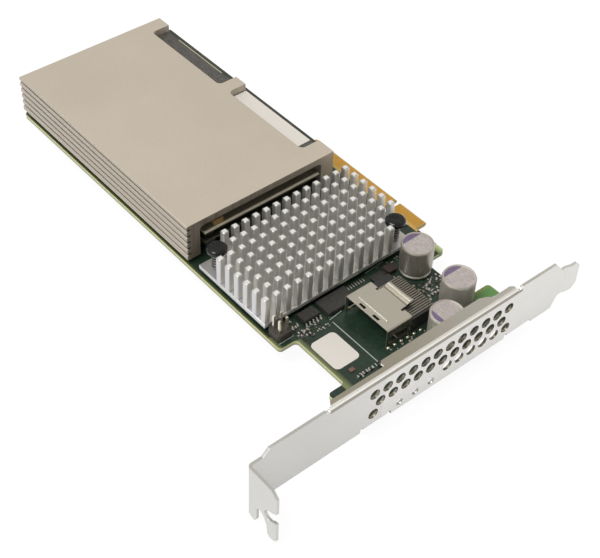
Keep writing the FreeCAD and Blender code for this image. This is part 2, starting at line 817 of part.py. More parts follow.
def memory_chips():
    """Cache memory on the board under the flash boards."""
    first_x = (module_near_x + module_far_x) / 2 - (memory_chip_count - 1) * memory_chip_pitch / 2
    middle_y = (module_left_y + module_right_y) / 2
    chips = []
    for i in range(memory_chip_count):
        x = first_x + i * memory_chip_pitch
        chips.append(box(x - memory_chip_length / 2, x + memory_chip_length / 2,
                         middle_y - memory_chip_width / 2, middle_y + memory_chip_width / 2,
                         0, memory_chip_height))
    return Part.makeCompound(chips)


# Controller chip and heat sink

def controller_chip():
    """A flat substrate with a raised lid."""
    half, lid = chip_side / 2, chip_lid_side / 2
    base = box(sink_centre_x - half, sink_centre_x + half, sink_centre_y - half, sink_centre_y + half,
               0, chip_base_height)
    top = box(sink_centre_x - lid, sink_centre_x + lid, sink_centre_y - lid, sink_centre_y + lid,
              chip_base_height - 0.1, chip_height)
    return base.fuse(top).removeSplitter()


def controller_pad():
    lid = chip_lid_side / 2
    return box(sink_centre_x - lid, sink_centre_x + lid, sink_centre_y - lid, sink_centre_y + lid,
               chip_height, chip_height + chip_pad)


def pin_heat_sink():
    """A base with a field of square pins, bare in two corners for the push pins."""
    x0, y0 = sink_near_x, -sink_top_y
    pieces = [box(x0, sink_far_x, y0, y0 - sink_width, sink_low, sink_floor)]
    for row in range(pin_rows):
        for column in range(pin_columns):
            near_corner = row < 2 and column >= pin_columns - 2
            far_corner = row >= pin_rows - 2 and column < 2
            if near_corner or far_corner:
                continue
            x = x0 + row * pin_pitch_x
            y = y0 - column * pin_pitch_y
            pieces.append(box(x, x + pin_side, y, y - pin_side, sink_floor - 0.2, sink_floor + pin_height))
    sink = joined(pieces)
    holes = [rod(x, y, sink_low - 1, sink_floor + 1, push_pin_shaft_radius + push_pin_run)
             for x, y in push_pin_places()]
    return cut_all(sink, holes)


def push_pins():
    """Nylon pins with a round head, a straight shaft and a split barb under the board."""
    pins = []
    shaft, barb = push_pin_shaft_radius, push_pin_barb_radius
    tip = board_under - push_pin_barb_length
    for x, y in push_pin_places():
        top = head_under + push_pin_head_height
        outline = [(0, tip), (shaft * 0.6, tip), (barb, board_under - 0.5), (barb, board_under - 0.15),
                   (shaft, board_under - 0.15), (shaft, head_under), (push_pin_head_radius, head_under),
                   (push_pin_head_radius, top - 0.5), (push_pin_head_radius - 0.6, top), (0, top)]
        wire = Part.makePolygon([Vector(x + r, y, z) for r, z in outline] + [Vector(x, y, tip)])
        pin = Part.Face(wire).revolve(Vector(x, y, 0), Vector(0, 0, 1), 360)
        half = push_pin_slit / 2
        slit = box(x - half, x + half, y - barb - 1, y + barb + 1, tip - 1, board_under + 1)
        pins.append(pin.cut(slit))
    return Part.makeCompound(pins)


def push_pin_springs():
    """Wire springs between the sink's base and the pins' heads."""
    springs = []
    rise = push_pin_spring_room - 2 * spring_wire_radius
    for x, y in push_pin_places():
        helix = Part.makeHelix(rise / spring_turns, rise, spring_radius)
        start = Vector(spring_radius, 0, 0)
        section = Part.Wire([Part.makeCircle(spring_wire_radius, start, Vector(0, 1, 0))])
        spring = Part.Wire(helix).makePipeShell([section], True, True)
        spring.translate(Vector(x, y, sink_floor + spring_wire_radius))
        springs.append(spring)
    return Part.makeCompound(springs)


# Capacitors

def capacitor_can(index):
    """A deep-drawn can with a raised rim round its top, a crimped groove and a rolled lip."""
    x, y = can_centres[index][0], -down_card(can_centres[index][1])
    top = can_foot + can_height
    sink = top - can_rim_sink
    body = can_radius - 0.05
    outline = [(0, can_foot), (can_lip_radius - 0.2, can_foot), (can_lip_radius, can_foot + 0.2),
               (can_lip_radius, can_foot + 0.6), (can_groove_radius, can_foot + 0.95),
               (can_groove_radius, can_foot + 1.2), (body - 0.1, can_foot + 1.55), (body, can_foot + 1.85),
               (body, top - 0.9), (can_radius, top - 0.6), (can_radius - 0.3, top),
               (can_radius - can_rim_width + 0.1, top), (can_radius - can_rim_width - 0.1, sink), (0, sink)]
    wire = Part.makePolygon([Vector(x + r, y, z) for r, z in outline] + [Vector(x, y, can_foot)])
    return Part.Face(wire).revolve(Vector(x, y, 0), Vector(0, 0, 1), 360)


def capacitor_seals():
    """Rubber discs that close the cans and stand on the board."""
    return Part.makeCompound([rod(x, -down_card(y), 0, can_foot, seal_radius) for x, y in can_centres])


def capacitor_leads():
    low = board_under - lead_below
    return Part.makeCompound([rod(x, y, low, 0, lead_radius) for x, y in can_lead_places()])


# Cable connector

def connector_shell():
    """The folded steel shell: a sleeve with latch slots, side windows and a curled back flap."""
    x0, x1 = shell_near_x, shell_far_x
    front, back = shell_front, shell_back_y
    top, skin = shell_height, shell_sheet
    sleeve = box(x0, x1, back, front, 0, top)
    sleeve = sleeve.makeFillet(0.6, edges_along(sleeve, "y", [(x0, top), (x1, top)]))
    sleeve = sleeve.cut(box(x0 + skin, x1 - skin, back - 1, front + 1, skin, top - skin))
    half = shell_back_width / 2
    curl = [(back + 0.5, top)] + [(back - far, top + rise) for far, rise in shell_crest + shell_crest_under]
    flap = prism(curl + [(back + 0.5, top - skin)], shell_middle_x - half, "x", shell_back_width)
    bead_length = shell_width - 5.5
    bead = Part.makeCylinder(shell_bead_radius, bead_length,
                             Vector(shell_middle_x - bead_length / 2, front - 2.5, top), Vector(1, 0, 0))
    pegs = [box(x - skin / 2, x + skin / 2, y - shell_peg_width / 2, y + shell_peg_width / 2,
                board_under - shell_peg_below, 0.5) for x, y in shell_peg_places()]
    body = joined([sleeve, flap, bead] + pegs)
    inside = box(x0 + skin, x1 - skin, back + 0.1, front + 1, skin, top - skin)
    floor = box(x0 + skin, x1 - skin, front - shell_floor_start, front + 1, -1, skin + 0.1)
    tools = [inside, floor]
    for side in (-1, 1):
        x = shell_middle_x + side * shell_slot_spread / 2
        tools.append(box(x - shell_slot_length / 2, x + shell_slot_length / 2, front - 1.5,
                         front - 1.5 + shell_slot_width, top - 1, top + 1))
        notch_x = shell_middle_x + side * (half + 0.5)
        tools.append(box(notch_x - 0.4, notch_x + 0.4, back - 1, back + 0.9, top - 1, top + 1))
    for x in (x0, x1):
        tools.append(box(x - 1, x + 1, front - 1.0, back + 0.9, shell_window_low, shell_window_high))
    return cut_all(body, tools)


def connector_housing():
    """The black moulding: a bar with a card slot inside the shell, and a block behind it."""
    gap = housing_side_gap
    x0, x1 = shell_near_x + shell_sheet + gap, shell_far_x - shell_sheet - gap
    front = shell_front - housing_front
    back = housing_back_y
    middle = shell_sheet + gap + housing_height / 2
    bar_low, bar_high = middle - housing_bar_height / 2, middle + housing_bar_height / 2
    bar = box(x0 + 0.9, x1 - 0.9, shell_back_y, front, bar_low, bar_high)
    plug_end = box(x0, x1, shell_back_y, shell_back_y + 1.4, shell_sheet + gap,
                   shell_height - shell_sheet - gap)
    block = box(shell_near_x, shell_far_x, back, shell_back_y - gap, 0, housing_height)
    neck = box(x0, x1, shell_back_y - 0.5, shell_back_y + 0.5, shell_sheet + gap, housing_height)
    body = joined([bar, plug_end, block, neck])
    slot = box(x0 + 1.6, x1 - 1.6, shell_back_y + 0.6, front + 1, middle - housing_slot / 2,
               middle + housing_slot / 2)
    return body.cut(slot)


def connector_tails(row):
    """One row of contact tails: the upper ones lie on the block, the lower ones leave its back."""
    thick = tail_thick
    if row == "upper":
        start = shell_back_y - tail_upper_start
        bend = housing_back_y - tail_upper_reach
        z = housing_height + thick
        slope = tail_slope
        shift = tail_side_step
    else:
        start = housing_back_y
        bend = housing_back_y - tail_lower_reach
        z = tail_lower_z
        slope = tail_slope / 2
        shift = tail_side_step + tail_pitch / 2
    foot = bend - slope
    outline = [(start, z), (bend, z), (foot, thick), (foot - tail_foot, thick), (foot - tail_foot, 0),
               (foot + thick, 0), (bend + thick, z - thick), (start, z - thick)]
    first = shell_middle_x - (tail_count - 1) * tail_pitch / 2 + shift - tail_width / 2
    tails = [prism(outline, first + i * tail_pitch, "x", tail_width) for i in range(tail_count)]
    return Part.makeCompound(tails)


# Pin header

def header_base_block():
    """The header's moulded block, with its corners cut and a hole for each pin."""
    half = header_pitch
    x0, x1 = header_centre_x - half, header_centre_x + half
    y0, y1 = header_centre_y - half, header_centre_y + half
    cut = header_corner_cut
    outline = [(x0 + cut, y0), (x1 - cut, y0), (x1, y0 + cut), (x1, y1 - cut), (x1 - cut, y1),
               (x0 + cut, y1), (x0, y1 - cut), (x0, y0 + cut)]
    side = header_pin_side / 2
    holes = [box(x - side, x + side, y - side, y + side, -1, header_base + 1) for x, y in header_pin_places()]
    return cut_all(prism(outline, 0, "z", header_base), holes)


def header_pins():
    side = header_pin_side / 2
    pins = []
    for x, y in header_pin_places():
        pin = box(x - side, x + side, y - side, y + side, board_under - header_pin_below, header_pin_top)
        tops = [edge for edge in pin.Edges if abs(edge.BoundBox.ZMin - header_pin_top) < 0.01]
        pins.append(pin.makeChamfer(side * 0.5, tops))
    return Part.makeCompound(pins)


# Small parts

def package(centre, length, width, height, lift):
    """A moulded package whose sides lean in above and below its middle."""
    x, y = centre[0], -down_card(centre[1])
    lean = 0.12 * height

    def ring(z, inset):
        half_x, half_y = width / 2 - inset, length / 2 - inset
        corners = [Vector(x - half_x, y - half_y, z), Vector(x + half_x, y - half_y, z),
                   Vector(x + half_x, y + half_y, z), Vector(x - half_x, y + half_y, z)]
        return Part.makePolygon(corners + [corners[0]])

    lower = Part.makeLoft([ring(lift, lean), ring(height / 2, 0)], True)
    upper = Part.makeLoft([ring(height / 2, 0), ring(height, lean)], True)
    return lower.fuse(upper).removeSplitter()


def outline_chip():
    return package(outline_chip_at, outline_chip_length, outline_chip_width, outline_chip_height,
                   outline_chip_lift)


def bridge_chip():
    """A leadless package, soldered flat to the board."""
    return package(bridge_chip_at, bridge_chip_length, bridge_chip_width, bridge_chip_height, 0)


def chip_leads():
    """Gull-wing leads on both long sides of the outline package."""
    x, y = outline_chip_at[0], -down_card(outline_chip_at[1])
    level = outline_chip_height / 2
    leads = []
    for side in (-1, 1):
        edge = x + side * outline_chip_width / 2
        out = edge + side * lead_out
        foot = out - side * lead_foot
        points = [(edge, level), (foot + side * 0.1, level), (foot + side * 0.1, lead_strip),
                  (out, lead_strip), (out, 0), (foot - side * 0.1, 0),
                  (foot - side * 0.1, level - lead_strip), (edge, level - lead_strip)]
        for i in range(outline_lead_count):
            along = y + (i - (outline_lead_count - 1) / 2) * outline_lead_pitch
            leads.append(prism(points, along - outline_lead_width / 2, "y", outline_lead_width))
    return Part.makeCompound(leads)


def power_coil():
    """A moulded power inductor with cut corners."""
    x, y = coil_at[0], -down_card(coil_at[1])
    half_x, half_y = coil_width / 2, coil_length / 2
    body = box(x - half_x, x + half_x, y - half_y, y + half_y, terminal_skin, coil_height)
    uprights = edges_along(body, "z", [(x - half_x, y - half_y), (x + half_x, y - half_y),
                                       (x - half_x, y + half_y), (x + half_x, y + half_y)])
    return body.makeChamfer(coil_corner_cut, uprights)


def coil_terminals():
    x, y = coil_at[0], -down_card(coil_at[1])
    half_x, half_y = coil_width / 2 - coil_corner_cut, coil_length / 2
    plates = []
    for side in (-1, 1):
        plates.append(box(x - half_x, x + half_x, y + side * half_y, y + side * (half_y - terminal_length),
                          0, terminal_skin))
    return Part.makeCompound(plates)


def spots_on_card(spots):
    return [(x, -down_card(share)) for x, share in spots]


def spots_behind_tails():
    """A row of parts just clear of the upper tails' feet."""
    y = tail_end_y - tail_part_gap - small_part_length / 2
    return [(x, y) for x in tail_part_xs]


def small_parts(spots):
    """Surface-mount blocks, slightly narrower between their two end caps."""
    blocks = []
    for x, y in spots:
        half = small_part_length / 2
        wide = small_part_width / 2
        body = box(x - wide + 0.05, x + wide - 0.05, y - half, y + half, 0, small_part_height - 0.05)
        inner = half - small_part_end
        caps = [box(x - wide, x + wide, y + side * half, y + side * inner, 0, small_part_height)
                for side in (-1, 1)]
        blocks.append(joined([body] + caps))
    return Part.makeCompound(blocks)


def board_label():
    """A blank label with round corners, in front of the cable connector."""
    x, y = board_label_at[0], -down_card(board_label_at[1])
    half_x, half_y = board_label_length / 2, board_label_width / 2
    label = box(x - half_x, x + half_x, y - half_y, y + half_y, 0, label_skin)
    corners = [(x + i * half_x, y + j * half_y) for i in (-1, 1) for j in (-1, 1)]
    return label.makeFillet(board_label_radius, edges_along(label, "z", corners))


pieces = {
    "circuit_board": circuit_board(),
    "edge_contacts_top": edge_contacts("top"),
    "edge_contacts_bottom": edge_contacts("bottom"),
    "bracket": bracket(),
    "bracket_screws": bracket_screws(),
    "flash_cover": flash_cover(),
    "cover_spacers": cover_spacers(),
    "cover_screws": cover_screws(),
    "upper_module_board": upper_module_board(),
    "lower_module_board": lower_module_board(),
    "upper_flash_chips": flash_chips(upper_module_top, 3),
    "lower_flash_chips": flash_chips(lower_module_top, 2),
    "thermal_pad": thermal_pad(),
    "module_label": module_label(),
    "module_capacitor": module_capacitor(),
    "module_spacers": module_spacers(),
    "module_screws": module_screws(),
    "module_connectors": module_connectors(),
    "memory_chips": memory_chips(),
    "controller_chip": controller_chip(),
    "controller_pad": controller_pad(),
    "pin_heat_sink": pin_heat_sink(),
    "push_pins": push_pins(),
    "push_pin_springs": push_pin_springs(),
    "capacitor_rear": capacitor_can(0),
    "capacitor_middle": capacitor_can(1),
    "capacitor_front": capacitor_can(2),
    "capacitor_seals": capacitor_seals(),
    "capacitor_leads": capacitor_leads(),
    "connector_shell": connector_shell(),
    "connector_housing": connector_housing(),
    "connector_upper_tails": connector_tails("upper"),
    "connector_lower_tails": connector_tails("lower"),
    "header_base": header_base_block(),
    "header_pins": header_pins(),
    "outline_chip": outline_chip(),
    "bridge_chip": bridge_chip(),
    "chip_leads": chip_leads(),
    "power_coil": power_coil(),
    "coil_terminals": coil_terminals(),
    "chip_resistors": small_parts(spots_on_card(resistor_spots)),
    "chip_capacitors": small_parts(spots_on_card(chip_capacitor_spots) + spots_behind_tails()),
    "board_label": board_label(),
}

# The origin goes under the middle of the card, level with the lowest edge of the tab.
to_origin = Vector((tab_reach - board_far_x) / 2, bracket_length / 2, -tab_low)

os.makedirs("parts", exist_ok=True)
for name, shape in pieces.items():
    shape.translate(to_origin)
    shape.exportStep("parts/" + name + ".step")
    print(name, len(shape.Solids), shape.isValid(), round(shape.Volume, 2))
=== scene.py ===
import math
import random

import bmesh
import bpy
from mathutils import Matrix, Vector


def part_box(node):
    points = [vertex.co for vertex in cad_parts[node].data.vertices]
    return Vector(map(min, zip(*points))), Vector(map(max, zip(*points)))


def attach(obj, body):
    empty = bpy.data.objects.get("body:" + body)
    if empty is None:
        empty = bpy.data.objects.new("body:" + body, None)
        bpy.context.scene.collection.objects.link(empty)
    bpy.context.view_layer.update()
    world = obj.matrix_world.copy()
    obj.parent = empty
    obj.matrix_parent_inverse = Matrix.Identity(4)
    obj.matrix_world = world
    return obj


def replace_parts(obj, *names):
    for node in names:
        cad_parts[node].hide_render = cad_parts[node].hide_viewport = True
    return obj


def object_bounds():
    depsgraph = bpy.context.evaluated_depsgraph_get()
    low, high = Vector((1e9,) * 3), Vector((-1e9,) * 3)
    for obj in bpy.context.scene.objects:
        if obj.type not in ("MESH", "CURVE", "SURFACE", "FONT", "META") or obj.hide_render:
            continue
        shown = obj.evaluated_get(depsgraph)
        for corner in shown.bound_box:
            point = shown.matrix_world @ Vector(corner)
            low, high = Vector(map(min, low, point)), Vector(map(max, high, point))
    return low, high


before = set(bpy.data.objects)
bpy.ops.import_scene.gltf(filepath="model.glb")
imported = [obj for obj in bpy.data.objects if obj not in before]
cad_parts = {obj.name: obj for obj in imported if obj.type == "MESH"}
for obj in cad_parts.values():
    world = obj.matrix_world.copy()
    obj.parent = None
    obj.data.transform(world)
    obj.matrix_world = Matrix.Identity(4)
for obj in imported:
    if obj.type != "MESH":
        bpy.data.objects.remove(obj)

cad_low, cad_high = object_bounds()

# Circuit board: a green glass laminate, milled to its outline, with gold contacts on its lower edge.
# The mask is a thin glossy lacquer over etched copper, and the milled edges show bare laminate.
# The contacts are copper pads with a hard gold plate on both sides of the edge.

MM = 0.001
BOARD_FAR_X = 167.65
card_origin = Vector((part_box("circuit_board")[1].x - BOARD_FAR_X * MM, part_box("bracket")[1].y,
                      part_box("circuit_board")[1].z))


def at(x, y, z):
    """A place on the card, as metres in the scene.

    The card's own frame is in millimetres: X from the bracket's outer face, Y from the tab's
    outer face, Z from the component side.
    """
    return card_origin + Vector((x, y, z)) * MM


def in_card(point):
    """The reverse: a place in the scene, in the card's own frame."""
    return (Vector(point) - card_origin) / MM


def feed(tree, socket, value):
    """Links a socket to another node's output, or sets its value; a colour has three numbers."""
    if isinstance(value, bpy.types.NodeSocket):
        tree.links.new(value, socket)
    elif socket.type == "RGBA":
        socket.default_value = (*value, 1)
    else:
        socket.default_value = value


def shader(tree, kind, **values):
    """Adds a node to a shader tree and sets the sockets named in values."""
    node = tree.nodes.new(kind)
    for name, value in values.items():
        feed(tree, node.inputs[name.replace("_", " ")], value)
    return node


def math_node(tree, operation, first, second=0.5):
    """The result of one operation on two values."""
    node = tree.nodes.new("ShaderNodeMath")
    node.operation = operation
    for socket, value in zip(node.inputs, (first, second)):
        feed(tree, socket, value)
    return node.outputs[0]


def blend_colours(tree, share, first, second):
    """The first colour with a share of the second over it."""
    node = tree.nodes.new("ShaderNodeMix")
    node.data_type = "RGBA"
    for index, value in ((0, share), (6, first), (7, second)):
        feed(tree, node.inputs[index], value)
    return node.outputs[2]


def overlap(tree, *masks):
    """The masks multiplied, so 1 only where each of them is 1."""
    product = masks[0]
    for mask in masks[1:]:
        product = math_node(tree, "MULTIPLY", product, mask)
    return product


FINE_WEIGHT = 0.55
CLOUD_WEIGHT = 0.45
GRAIN_FROM = 0.35
GRAIN_TO = 0.68


def grain_group():
    """Fine uneven grain: a colour that varies in two sizes, a roughness and a height."""
    group = bpy.data.node_groups.new("uneven grain", "ShaderNodeTree")
    for label, kind, value in (
            ("Place", "Vector", (0, 0, 0)), ("Colour", "Color", (0.5, 0.5, 0.5, 1)),
            ("Shade", "Color", (0.3, 0.3, 0.3, 1)), ("Grain scale", "Float", 4000.0),
            ("Cloud scale", "Float", 60.0), ("Share", "Float", 0.3),
            ("Roughness", "Float", 0.5), ("Roughness spread", "Float", 0.1)):
        socket = group.interface.new_socket(label, in_out="INPUT", socket_type="NodeSocket" + kind)
        socket.default_value = value
    for label, kind in (("Colour", "Color"), ("Roughness", "Float"), ("Height", "Float")):
        group.interface.new_socket(label, in_out="OUTPUT", socket_type="NodeSocket" + kind)
    given = group.nodes.new("NodeGroupInput").outputs
    made = group.nodes.new("NodeGroupOutput").inputs
    fine = shader(group, "ShaderNodeTexNoise", Vector=given["Place"], Scale=given["Grain scale"],
                  Detail=3.0)
    cloud = shader(group, "ShaderNodeTexNoise", Vector=given["Place"], Scale=given["Cloud scale"],
                   Detail=4.0)
    both = math_node(group, "ADD", math_node(group, "MULTIPLY", fine.outputs[0], FINE_WEIGHT),
                     math_node(group, "MULTIPLY", cloud.outputs[0], CLOUD_WEIGHT))
    spread = shader(group, "ShaderNodeMapRange", Value=both, From_Min=GRAIN_FROM, From_Max=GRAIN_TO)
    share = math_node(group, "MULTIPLY", spread.outputs[0], given["Share"])
    group.links.new(blend_colours(group, share, given["Colour"], given["Shade"]), made["Colour"])
    centred = math_node(group, "SUBTRACT", both, 0.5)
    swing = math_node(group, "MULTIPLY", centred, given["Roughness spread"])
    group.links.new(math_node(group, "ADD", given["Roughness"], swing), made["Roughness"])
    group.links.new(fine.outputs[0], made["Height"])
    return group


UNEVEN_GRAIN = grain_group()


def new_finish(name, colour, shade, grain, cloud, share, roughness, spread):
    """A new material whose roughness is that of the uneven grain, with what its colour needs."""
    material = bpy.data.materials.new(name)
    material.use_nodes = True
    tree = material.node_tree
    surface = tree.nodes["Principled BSDF"]
    place = tree.nodes.new("ShaderNodeTexCoord")
    group = tree.nodes.new("ShaderNodeGroup")
    group.node_tree = UNEVEN_GRAIN
    for label, value in (("Place", place.outputs["Object"]), ("Colour", colour), ("Shade", shade),
                         ("Grain scale", grain), ("Cloud scale", cloud), ("Share", share),
                         ("Roughness", roughness), ("Roughness spread", spread)):
        feed(tree, group.inputs[label], value)
    tree.links.new(group.outputs["Roughness"], surface.inputs["Roughness"])
    return material, tree, surface, place, group.outputs


def grained(name, colour, shade, share=0.3, grain=4000.0, cloud=60.0, roughness=0.5, spread=0.15,
            bump=0.1, bump_depth=0.00002, metallic=0.0, **sockets):
    """A finish made of the uneven grain, with any of the shader's sockets set by name."""
    material, tree, surface, place, made = new_finish(name, colour, shade, grain, cloud, share,
                                                      roughness, spread)
    tree.links.new(made["Colour"], surface.inputs["Base Color"])
    bumped = shader(tree, "ShaderNodeBump", Strength=bump, Distance=bump_depth, Height=made["Height"])
    tree.links.new(bumped.outputs[0], surface.inputs["Normal"])
    surface.inputs["Metallic"].default_value = metallic
    for label, value in sockets.items():
        surface.inputs[label.replace("_", " ")].default_value = value
    return material


def dress(node, material):
    """Gives a CAD node its material."""
    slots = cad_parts[node].data.materials
    slots.clear()
    slots.append(material)


def axes(tree, place, kind):
    """The three numbers of a place or a normal, in the object's own coordinates."""
    return shader(tree, "ShaderNodeSeparateXYZ", Vector=place.outputs[kind]).outputs


def faces_along(tree, place, axis, least):
    """1 on faces whose own direction lies along an axis; least is below 0 for its negative side."""
    operation = "GREATER_THAN" if least > 0 else "LESS_THAN"
    return math_node(tree, operation, axes(tree, place, "Normal")[axis], least)


def within(tree, value, low, high):
    """1 where a value lies between two limits."""
    return overlap(tree, math_node(tree, "GREATER_THAN", value, low),
                   math_node(tree, "LESS_THAN", value, high))


def zone_mask(tree, place, low, high):
    """1 between two corners of a box in the card's own frame."""
    where = axes(tree, place, "Object")
    low, high = at(*low), at(*high)
    return overlap(tree, *[within(tree, where[axis], low[axis], high[axis]) for axis in range(3)])


def finish_so_far(material):
    """A material's tree, shader, coordinates, and the colour that it has up to now."""
    tree = material.node_tree
    surface = tree.nodes["Principled BSDF"]
    place = next(node for node in tree.nodes if node.bl_idname == "ShaderNodeTexCoord")
    return tree, surface, place, surface.inputs["Base Color"].links[0].from_socket


MASK_GRAIN = 900.0
MASK_CLOUD = 120.0
MASK_SHARE = 0.8
MASK_ROUGHNESS = 0.32
MASK_SPREAD = 0.3
WEAVE_SCALE = 2500.0
WEAVE_BUMP = 0.15
WEAVE_DEPTH = 0.00003
MILLED_EDGE = 0.7


def board_finish(name, mask, shade, edge_upper, edge_lower, upper_from):
    """Mask on the two faces, and the milled edges in one colour above a height and another below it: bare
    laminate, lighter above, on the main board; painted highlight above painted shade on the upper flash
    board, and painted shade on the lower.
    """
    material, tree, surface, place, made = new_finish(name, mask, shade, MASK_GRAIN, MASK_CLOUD, MASK_SHARE,
                                                      MASK_ROUGHNESS, MASK_SPREAD)
    height = axes(tree, place, "Object")[2]
    upper = math_node(tree, "GREATER_THAN", height, at(0, 0, upper_from).z)
    edge_colour = blend_colours(tree, upper, edge_lower, edge_upper)
    steepness = math_node(tree, "ABSOLUTE", axes(tree, place, "Normal")[2])
    edge = math_node(tree, "LESS_THAN", steepness, MILLED_EDGE)
    tree.links.new(blend_colours(tree, edge, made["Colour"], edge_colour), surface.inputs["Base Color"])
    weave = shader(tree, "ShaderNodeTexNoise", Vector=place.outputs["Object"], Scale=WEAVE_SCALE, Detail=2.0)
    bumped = shader(tree, "ShaderNodeBump", Strength=WEAVE_BUMP, Distance=WEAVE_DEPTH,
                    Height=weave.outputs[0])
    tree.links.new(bumped.outputs[0], surface.inputs["Normal"])
    return material


UPWARD = 0.7


def paint_zone(material, colour, zone, share=1.0, all_sides=False, fade=None):
    """Another colour inside a box of the card's own frame, such as bare laminate round the contacts.

    It goes on upward faces, or on all sides. With a fade, two places along Y, the colour goes
    from its whole share at the first to none at the second.
    """
    tree, surface, place, old = finish_so_far(material)
    mask = zone_mask(tree, place, *zone)
    if not all_sides:
        mask = overlap(tree, mask, faces_along(tree, place, 2, UPWARD))
    if fade is not None:
        whole, none = [at(0, y, 0).y for y in fade]
        ramp = shader(tree, "ShaderNodeMapRange", Value=axes(tree, place, "Object")[1], From_Min=whole,
                      From_Max=none, To_Min=1.0, To_Max=0.0)
        mask = overlap(tree, mask, ramp.outputs[0])
    mask = math_node(tree, "MULTIPLY", mask, share)
    tree.links.new(blend_colours(tree, mask, old, colour), surface.inputs["Base Color"])


MASK_COLOUR = (0.010, 0.023, 0.014)
MASK_SHADE = (0.022, 0.046, 0.028)
EDGE_UPPER = (0.48, 0.49, 0.22)
EDGE_LOWER = (0.30, 0.31, 0.20)
EDGE_UPPER_DEPTH = 0.85
board_mask = board_finish("solder mask", MASK_COLOUR, MASK_SHADE, EDGE_UPPER, EDGE_LOWER, -EDGE_UPPER_DEPTH)

RIM_OLIVE = (0.075, 0.080, 0.028)
UPPER_RIM = ((33.5, -37.75, -1), (BOARD_FAR_X, -37.0, 1))
paint_zone(board_mask, RIM_OLIVE, UPPER_RIM)

RIM_PALE = (0.20, 0.22, 0.10)
HEADER_CORNER = ((33.0, -38.6, -1), (38.5, -36.5, 1))
LABEL_RIM = ((2.0, -44.8, -1), (33.0, -42.0, 1))
paint_zone(board_mask, RIM_PALE, HEADER_CORNER, fade=(-36.9, -38.6))
paint_zone(board_mask, RIM_PALE, LABEL_RIM, 0.85, fade=(-43.0, -44.8))

THIN_OLIVE = (0.22, 0.28, 0.08)
CORNER_PALE = (0.62, 0.68, 0.42)
REAR_CORNER = ((31.0, -101.5, -2), (37.2, -98.6, 1))
paint_zone(board_mask, THIN_OLIVE, REAR_CORNER, all_sides=True)
paint_zone(board_mask, CORNER_PALE, REAR_CORNER, all_sides=True, fade=(-101.3, -99.0))

THIN_GREEN = (0.10, 0.25, 0.07)
LOWER_CORNER = ((6.5, -101.5, -2), (15.8, -93.4, 1))
LOWER_CORNER_FACE = ((6.5, -100.6, -1), (14.6, -93.0, 1))
paint_zone(board_mask, THIN_OLIVE, LOWER_CORNER, 0.85, all_sides=True)
paint_zone(board_mask, THIN_GREEN, LOWER_CORNER_FACE, 0.9)

BARE_LAMINATE = (0.56, 0.36, 0.09)
CONTACT_EDGE = ((44.8, -110, -2), (BOARD_FAR_X, -99.9, 1))
paint_zone(board_mask, BARE_LAMINATE, CONTACT_EDGE, all_sides=True)
dress("circuit_board", board_mask)

gold = grained("hard gold plate", (0.74, 0.40, 0.07), (0.58, 0.30, 0.05), metallic=0.95, roughness=0.36,
               grain=1500.0, bump=0.1)
for name in ("edge_contacts_top", "edge_contacts_bottom"):
    dress(name, gold)

# Flash boards: two thin laminates with moulded flash packages, stacked over the memory chips.
# Black board-to-board sockets join them, with threaded sleeves and screws at their corners.
# A silicone pad lies between the upper packages and the cover, with a blank paper label on it.

FLASH_MASK = (0.020, 0.026, 0.018)
FLASH_SHADE = (0.040, 0.046, 0.030)
# Painted highlight on the upper flash board's top edge, and painted shade on the edges below it and on the
# lower board's edges, where the cover shades them.
PAINTED_EDGE_HIGHLIGHT = (0.97, 0.91, 0.72)
PAINTED_EDGE_SHADE = (0.16, 0.14, 0.09)
UPPER_EDGE_Z = 8.1
LOWER_EDGE_Z = 5.0
# Painted light on the upper board's top at the cover's open end, with a strip of painted highlight along its
# near edge.
FLASH_END_PAINTED_LIGHT = (0.24, 0.215, 0.155)
PAINTED_LIGHT_ZONE = ((75, -93, 8), (90, -37, 9))
PAINTED_HIGHLIGHT_ZONE = ((75, -93, 8), (77.1, -37, 9))
upper_mask = board_finish("upper flash board mask", FLASH_MASK, FLASH_SHADE, PAINTED_EDGE_HIGHLIGHT, PAINTED_EDGE_SHADE,
                          UPPER_EDGE_Z)
paint_zone(upper_mask, FLASH_END_PAINTED_LIGHT, PAINTED_LIGHT_ZONE)
paint_zone(upper_mask, PAINTED_EDGE_HIGHLIGHT, PAINTED_HIGHLIGHT_ZONE)
dress("upper_module_board", upper_mask)
lower_mask = board_finish("lower flash board mask", FLASH_MASK, FLASH_SHADE, PAINTED_EDGE_SHADE, PAINTED_EDGE_SHADE,
                          LOWER_EDGE_Z)
dress("lower_module_board", lower_mask)

epoxy = grained("moulded epoxy", (0.016, 0.016, 0.015), (0.050, 0.049, 0.045), roughness=0.45,
                grain=1200.0, share=0.8, bump=0.25, Specular_IOR_Level=0.4)
for name in ("upper_flash_chips", "lower_flash_chips", "memory_chips"):
    dress(name, epoxy)
dress("module_capacitor", grained("moulded resin", (0.46, 0.30, 0.12), (0.34, 0.21, 0.08), roughness=0.45))

socket_black = grained("socket plastic", (0.02, 0.02, 0.021), (0.03, 0.03, 0.03), roughness=0.4, bump=0.15)
dress("module_connectors", socket_black)
zinc_steel = grained("zinc plated steel", (0.62, 0.61, 0.58), (0.5, 0.49, 0.46), metallic=1.0, roughness=0.3)
for name in ("module_spacers", "module_screws"):
    dress(name, zinc_steel)

